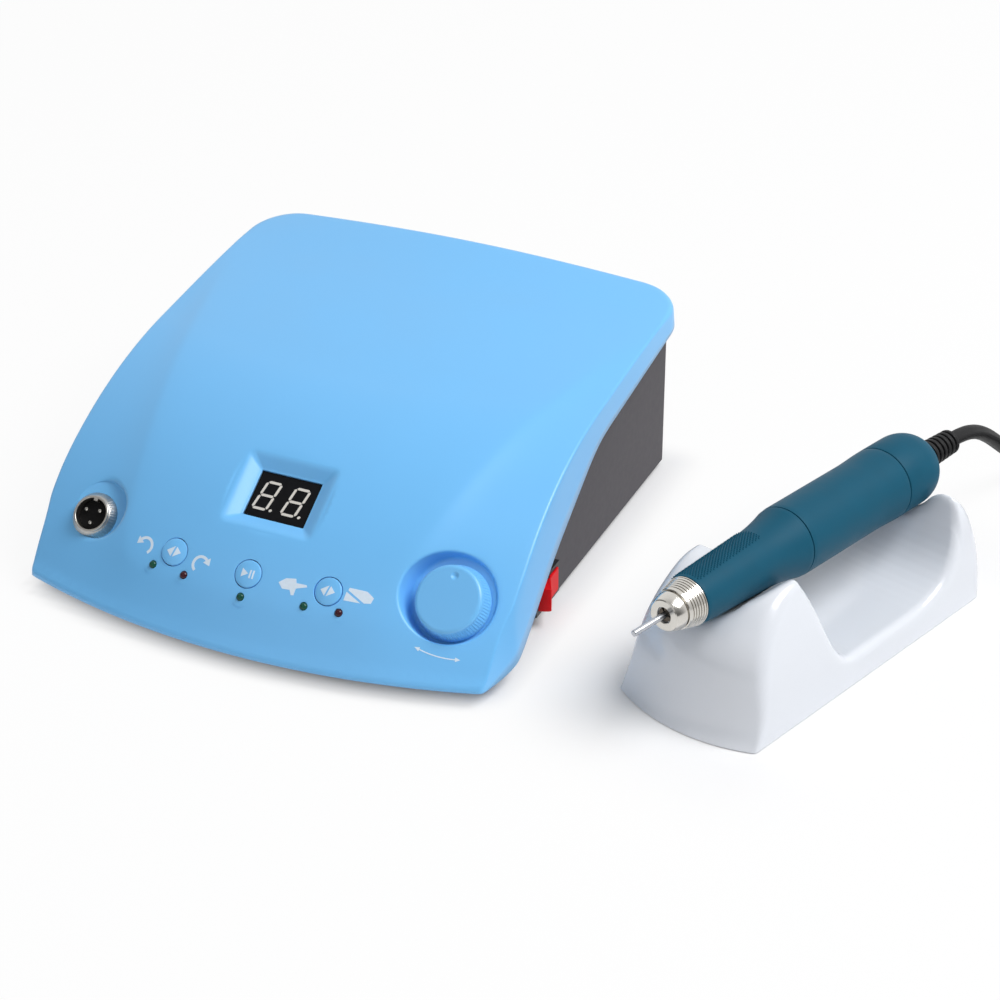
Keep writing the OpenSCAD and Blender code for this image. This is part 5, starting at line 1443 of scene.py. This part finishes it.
def thick_line(points, width):
    """Outline of a line of even width through flat points."""
    p = np.asarray(points, float)
    way = np.gradient(p, axis=0)
    way /= np.linalg.norm(way, axis=1)[:, None]
    side = np.stack([-way[:, 1], way[:, 0]], 1) * width / 2
    return np.concatenate([p + side, (p - side)[::-1]])


def arrow(centre, r, start, stop):
    """Outlines of a bent arrow with its head at stop."""
    turn = np.radians(np.linspace(start, stop, 20))
    bow = np.stack([centre[0] + r * np.cos(turn), centre[1] + r * np.sin(turn)], 1)
    tip = math.radians(stop)
    ahead = 1 if stop > start else -1
    out = np.array([math.cos(tip), math.sin(tip)])
    at = np.array(centre) + r * out
    way = np.array([-math.sin(tip), math.cos(tip)]) * ahead
    head = np.array([at + out * 1.7 - way * 0.2, at + way * 2.3, at - out * 1.7 - way * 0.2])
    return [thick_line(bow, 1.1), head]


def clockwise(outline):
    """Whether a flat loop runs clockwise."""
    x, y = outline.T
    return (x * np.roll(y, -1) - np.roll(x, -1) * y).sum() < 0


def mark(outlines, put, step=0.9):
    """Thin raised prints with the given flat outlines, put on a surface by a function."""
    parts = []
    for outline in outlines:
        outline = np.asarray(outline, float)
        if clockwise(outline):
            outline = outline[::-1]
        dense = []
        for a, b in zip(outline, np.roll(outline, -1, 0)):
            n = max(1, int(np.linalg.norm(b - a) / step))
            dense += [a + (b - a) * i / n for i in range(n)]
        dense = np.array(dense)
        flat, faces = fill(dense, [], step)
        rim = put(dense, PRINT_LIFT)
        foot = put(dense, PRINT_FOOT)
        parts.append((put(flat, PRINT_LIFT), faces))
        parts.append((np.concatenate([rim, foot]), ring_faces(2, len(dense))))
    return join(parts)


class MICROMOTOR_OT_prints(bpy.types.Operator):
    """Builds the plain signs printed on the panel and the buttons"""

    bl_idname = "micromotor.prints"
    bl_label = "Printed Signs"

    def execute(self, context):
        def on_panel(flat, lift):
            return on_surface(PANEL_IN_BOX, flat, lift)

        signs = arrow((-45.2, 1.1), 3.0, -55, 140) + arrow((-20.0, -1.0), 3.0, 235, 40)
        hand = [(12.6, -0.1), (15.0, 2.0), (18.8, 2.7), (19.4, 1.2), (23.4, 1.4), (23.8, 0.7), (19.8, -0.8),
                (19.6, -3.4), (18.6, -3.6), (17.6, -1.8), (14.6, -2.1)]
        toe = [(39.4, 4.6), (46.2, 4.9), (49.2, 3.2), (48.7, 1.0), (46.2, 0.4), (39.2, 3.6)]
        heel = [(38.7, 2.9), (44.9, 0.1), (38.5, -0.4)]
        signs += [hand, toe, heel]
        x = np.linspace(69.6, 82.8, 24)
        scale = np.stack([x, -10.5 + 0.0155 * (x - 76.2) ** 2], 1)
        signs.append(thick_line(scale, 0.4))
        for end, inner in ((scale[0], scale[1]), (scale[-1], scale[-2])):
            way = (end - inner) / np.linalg.norm(end - inner)
            out = np.array([-way[1], way[0]])
            signs.append([end + out * 0.8, end + way * 1.9, end - out * 0.8])
        piece("panel_signs", *mark(signs, on_panel), PANEL, "control_box", "cradle_white", "white_print", 30)
        left = [(-2.9, 0), (0.15, 2.1), (-0.85, -2.0)]
        right = [(2.9, 0), (-0.15, -2.1), (0.85, 2.0)]
        play = [[(-2.4, 1.7), (-2.4, -1.7), (0.3, 0)],
                [(0.8, -1.6), (1.4, -1.6), (1.4, 1.6), (0.8, 1.6)],
                [(2.0, -1.6), (2.6, -1.6), (2.6, 1.6), (2.0, 1.6)]]
        shapes = {"direction_button": [left, right], "start_button": play, "control_button": [left, right]}
        for name, outlines in shapes.items():
            seat = dressed_seat(BUTTON_SEATS[name])

            def on_button(flat, lift):
                return button_top(seat, flat, lift)

            piece(name + "_sign", *mark(outlines, on_button), PANEL, name, "cradle_white", "white_print", 30)
        return {"FINISHED"}


# Stage

CAMERA_TURN = math.radians(24.52)
CAMERA_RISE = math.radians(31.48)
CAMERA_AIM = (40.66, 134.32, 0)

# What stands on the floor: its frame, its foot's corners, and how far its shadow reaches
FOOTPRINTS = ((BOX, (-88, -4), (92, 190), 16), (CRADLE, (-24, 2), (24, 136), 60))
BOWED_UP_TO = 20


def math_node(tree, operation, *sources):
    """What a math node makes of outputs or numbers."""
    node = add_node(tree, "Math", operation=operation)
    for place, source in zip(node.inputs, sources):
        if isinstance(source, float):
            place.default_value = source
        else:
            tree.links.new(source, place)
    return node.outputs[0]


def mix_into(tree, share, first, second, end):
    """Two shaders mixed by a share and led to an output node."""
    mix = add_node(tree, "MixShader")
    for place, source in zip(mix.inputs, (share, first, second)):
        tree.links.new(source, place)
    tree.links.new(mix.outputs[0], end.inputs["Surface"])


def floor_finish(white):
    """A pale floor, nearly white to the camera, that still takes shadow."""
    mat = bpy.data.materials.new("studio_floor")
    mat.use_nodes = True
    tree = mat.node_tree
    shader = tree.nodes["Principled BSDF"]
    shader.inputs["Base Color"].default_value = (0.9, 0.9, 0.91, 1)
    shader.inputs["Roughness"].default_value = 0.7
    glow = add_node(tree, "Emission", {"Color": WHITE, "Strength": 1})
    rays = add_node(tree, "LightPath")
    clear = add_node(tree, "Attribute", attribute_name="clear")
    seen = math_node(tree, "MAXIMUM", rays.outputs["Is Camera Ray"], rays.outputs["Is Glossy Ray"])
    shown = math_node(tree, "MULTIPLY", seen, clear.outputs["Fac"])
    share = math_node(tree, "MULTIPLY", shown, white)
    mix_into(tree, share, shader.outputs[0], glow.outputs[0], tree.nodes["Material Output"])
    return mat


def soft_light(name, at, toward, size, power):
    """A square light at a place, turned toward another."""
    lamp = bpy.data.lights.new(name, "AREA")
    lamp.shape = "RECTANGLE"
    lamp.size = size
    lamp.size_y = size
    lamp.energy = power
    obj = bpy.data.objects.new(name, lamp)
    obj.location = at
    obj.rotation_euler = (Vector(toward) - Vector(at)).to_track_quat("-Z", "Y").to_euler()
    bpy.context.scene.collection.objects.link(obj)


class MICROMOTOR_OT_stage(bpy.types.Operator):
    """Sets the camera, the floor and the light"""

    bl_idname = "micromotor.stage"
    bl_label = "Stage"

    def execute(self, context):
        look = context.scene.micromotor_stage
        scene = context.scene
        scene.view_settings.view_transform = "Standard"
        self.camera(scene, look)
        self.room(scene, look)
        self.floor(scene, look)
        soft_light("key_light", (0.94, 0.19, 1.44), (0.0, 0.02, 0.03), 0.9, look.key)
        soft_light("fill_light", (-0.3, -1.3, 0.8), (0.0, 0.0, 0.03), 1.2, look.fill)
        return {"FINISHED"}

    def floor(self, scene, look):
        """A wide floor that knows how far each of its points is from what stands on it."""
        far = np.linspace(0.45, 4, 9)
        line = np.concatenate([-far[::-1], np.linspace(-0.445, 0.445, 179), far])
        y, x = np.meshgrid(line, line, indexing="ij")
        points = np.column_stack([x.ravel(), y.ravel(), np.zeros(x.size)])
        n = len(line)
        corners = [i * n + j for i in range(n - 1) for j in range(n - 1)]
        mesh = bpy.data.meshes.new("studio_floor")
        mesh.from_pydata(points.tolist(), [], [(k, k + 1, k + n + 1, k + n) for k in corners])
        clear = np.ones(len(points))
        for frame, low, high, run in FOOTPRINTS:
            at = placed(frame.inverted(), points)
            if frame is BOX:
                bowed = AXIS_Y - np.hypot(at[:, 0], AXIS_Y - at[:, 1])
                at[:, 1] = np.where(at[:, 1] < BOWED_UP_TO, bowed, at[:, 1])
            off = np.maximum(np.maximum(np.array(low) - at[:, :2], at[:, :2] - np.array(high)), 0)
            clear = np.minimum(clear, smooth_step(-0.12 * run, run, np.hypot(off[:, 0], off[:, 1])))
        mesh.attributes.new("clear", "FLOAT", "POINT").data.foreach_set("value", clear)
        mesh.materials.append(floor_finish(look.floor_white))
        floor = bpy.data.objects.new("studio_floor", mesh)
        scene.collection.objects.link(floor)

    def camera(self, scene, look):
        """The camera at the photograph's viewing angle."""
        flat = math.cos(CAMERA_RISE)
        way = Vector((math.sin(CAMERA_TURN) * flat, -math.cos(CAMERA_TURN) * flat, math.sin(CAMERA_RISE)))
        lens = bpy.data.cameras.new("camera")
        lens.lens = look.lens
        lens.sensor_width = 36
        lens.clip_start = 0.01
        camera = bpy.data.objects.new("camera", lens)
        camera.location = BOX @ Vector(CAMERA_AIM) + way * look.distance
        camera.rotation_euler = (-way).to_track_quat("-Z", "Y").to_euler()
        scene.collection.objects.link(camera)
        scene.camera = camera

    def room(self, scene, look):
        """Light from all round, stronger from overhead, and plain white for the camera and for mirrors."""
        world = scene.world or bpy.data.worlds.new("room")
        scene.world = world
        world.use_nodes = True
        tree = world.node_tree
        link = tree.links.new
        tree.nodes.clear()
        out = add_node(tree, "OutputWorld")
        light = add_node(tree, "Background", {"Color": WHITE})
        white = add_node(tree, "Background", {"Color": WHITE, "Strength": 1})
        place = add_node(tree, "TexCoord")
        parts = add_node(tree, "SeparateXYZ")
        rise = add_node(tree, "MapRange", {
            "From Min": 0.0, "From Max": 0.8, "To Min": look.wall, "To Max": look.room,
        }, interpolation_type="SMOOTHSTEP")
        behind = add_node(tree, "MapRange", {"From Min": -0.35, "From Max": 0.45},
                          interpolation_type="SMOOTHSTEP")
        link(place.outputs["Generated"], parts.inputs["Vector"])
        link(parts.outputs["Z"], rise.inputs["Value"])
        link(rise.outputs["Result"], light.inputs["Strength"])
        link(parts.outputs["Y"], behind.inputs["Value"])
        rays = add_node(tree, "LightPath")
        mirrored = math_node(tree, "MULTIPLY", rays.outputs["Is Glossy Ray"], behind.outputs["Result"])
        direct = math_node(tree, "MAXIMUM", rays.outputs["Is Camera Ray"],
                           rays.outputs["Is Transmission Ray"])
        shown = math_node(tree, "MAXIMUM", direct, mirrored)
        mix_into(tree, shown, light.outputs[0], white.outputs[0], out)


PIECES = (
    MICROMOTOR_OT_stage, MICROMOTOR_OT_cord, MICROMOTOR_OT_shell, MICROMOTOR_OT_case, MICROMOTOR_OT_knob,
    MICROMOTOR_OT_buttons, MICROMOTOR_OT_lamps, MICROMOTOR_OT_display, MICROMOTOR_OT_socket,
    MICROMOTOR_OT_switch, MICROMOTOR_OT_back, MICROMOTOR_OT_inside, MICROMOTOR_OT_cradle,
    MICROMOTOR_OT_handpiece, MICROMOTOR_OT_prints,
)


class MICROMOTOR_PT_pieces(bpy.types.Panel):
    """Lists the sizes, the colours and the pieces"""

    bl_idname = "MICROMOTOR_PT_pieces"
    bl_label = "Micromotor"
    bl_space_type = "VIEW_3D"
    bl_region_type = "UI"
    bl_category = "Micromotor"

    def draw(self, context):
        for name, group in GROUPS.items():
            box = self.layout.box()
            box.label(text=group.__doc__)
            for key in group.__annotations__:
                box.prop(getattr(context.scene, name), key)
        for operator in PIECES:
            self.layout.operator(operator.bl_idname)


def register():
    """Adds the property groups, the operators and the panel."""
    for group in GROUPS.values():
        bpy.utils.register_class(group)
    for name, group in GROUPS.items():
        setattr(bpy.types.Scene, name, bpy.props.PointerProperty(type=group))
    for operator in PIECES:
        bpy.utils.register_class(operator)
    bpy.utils.register_class(MICROMOTOR_PT_pieces)


def unregister():
    """Takes the panel, the operators and the property groups away."""
    bpy.utils.unregister_class(MICROMOTOR_PT_pieces)
    for operator in reversed(PIECES):
        bpy.utils.unregister_class(operator)
    for name, group in GROUPS.items():
        delattr(bpy.types.Scene, name)
        bpy.utils.unregister_class(group)


def main():
    """Registers the classes and builds every piece in turn."""
    register()
    for operator in PIECES:
        family, name = operator.bl_idname.split(".")
        getattr(getattr(bpy.ops, family), name)()


if __name__ == "__main__":
    main()
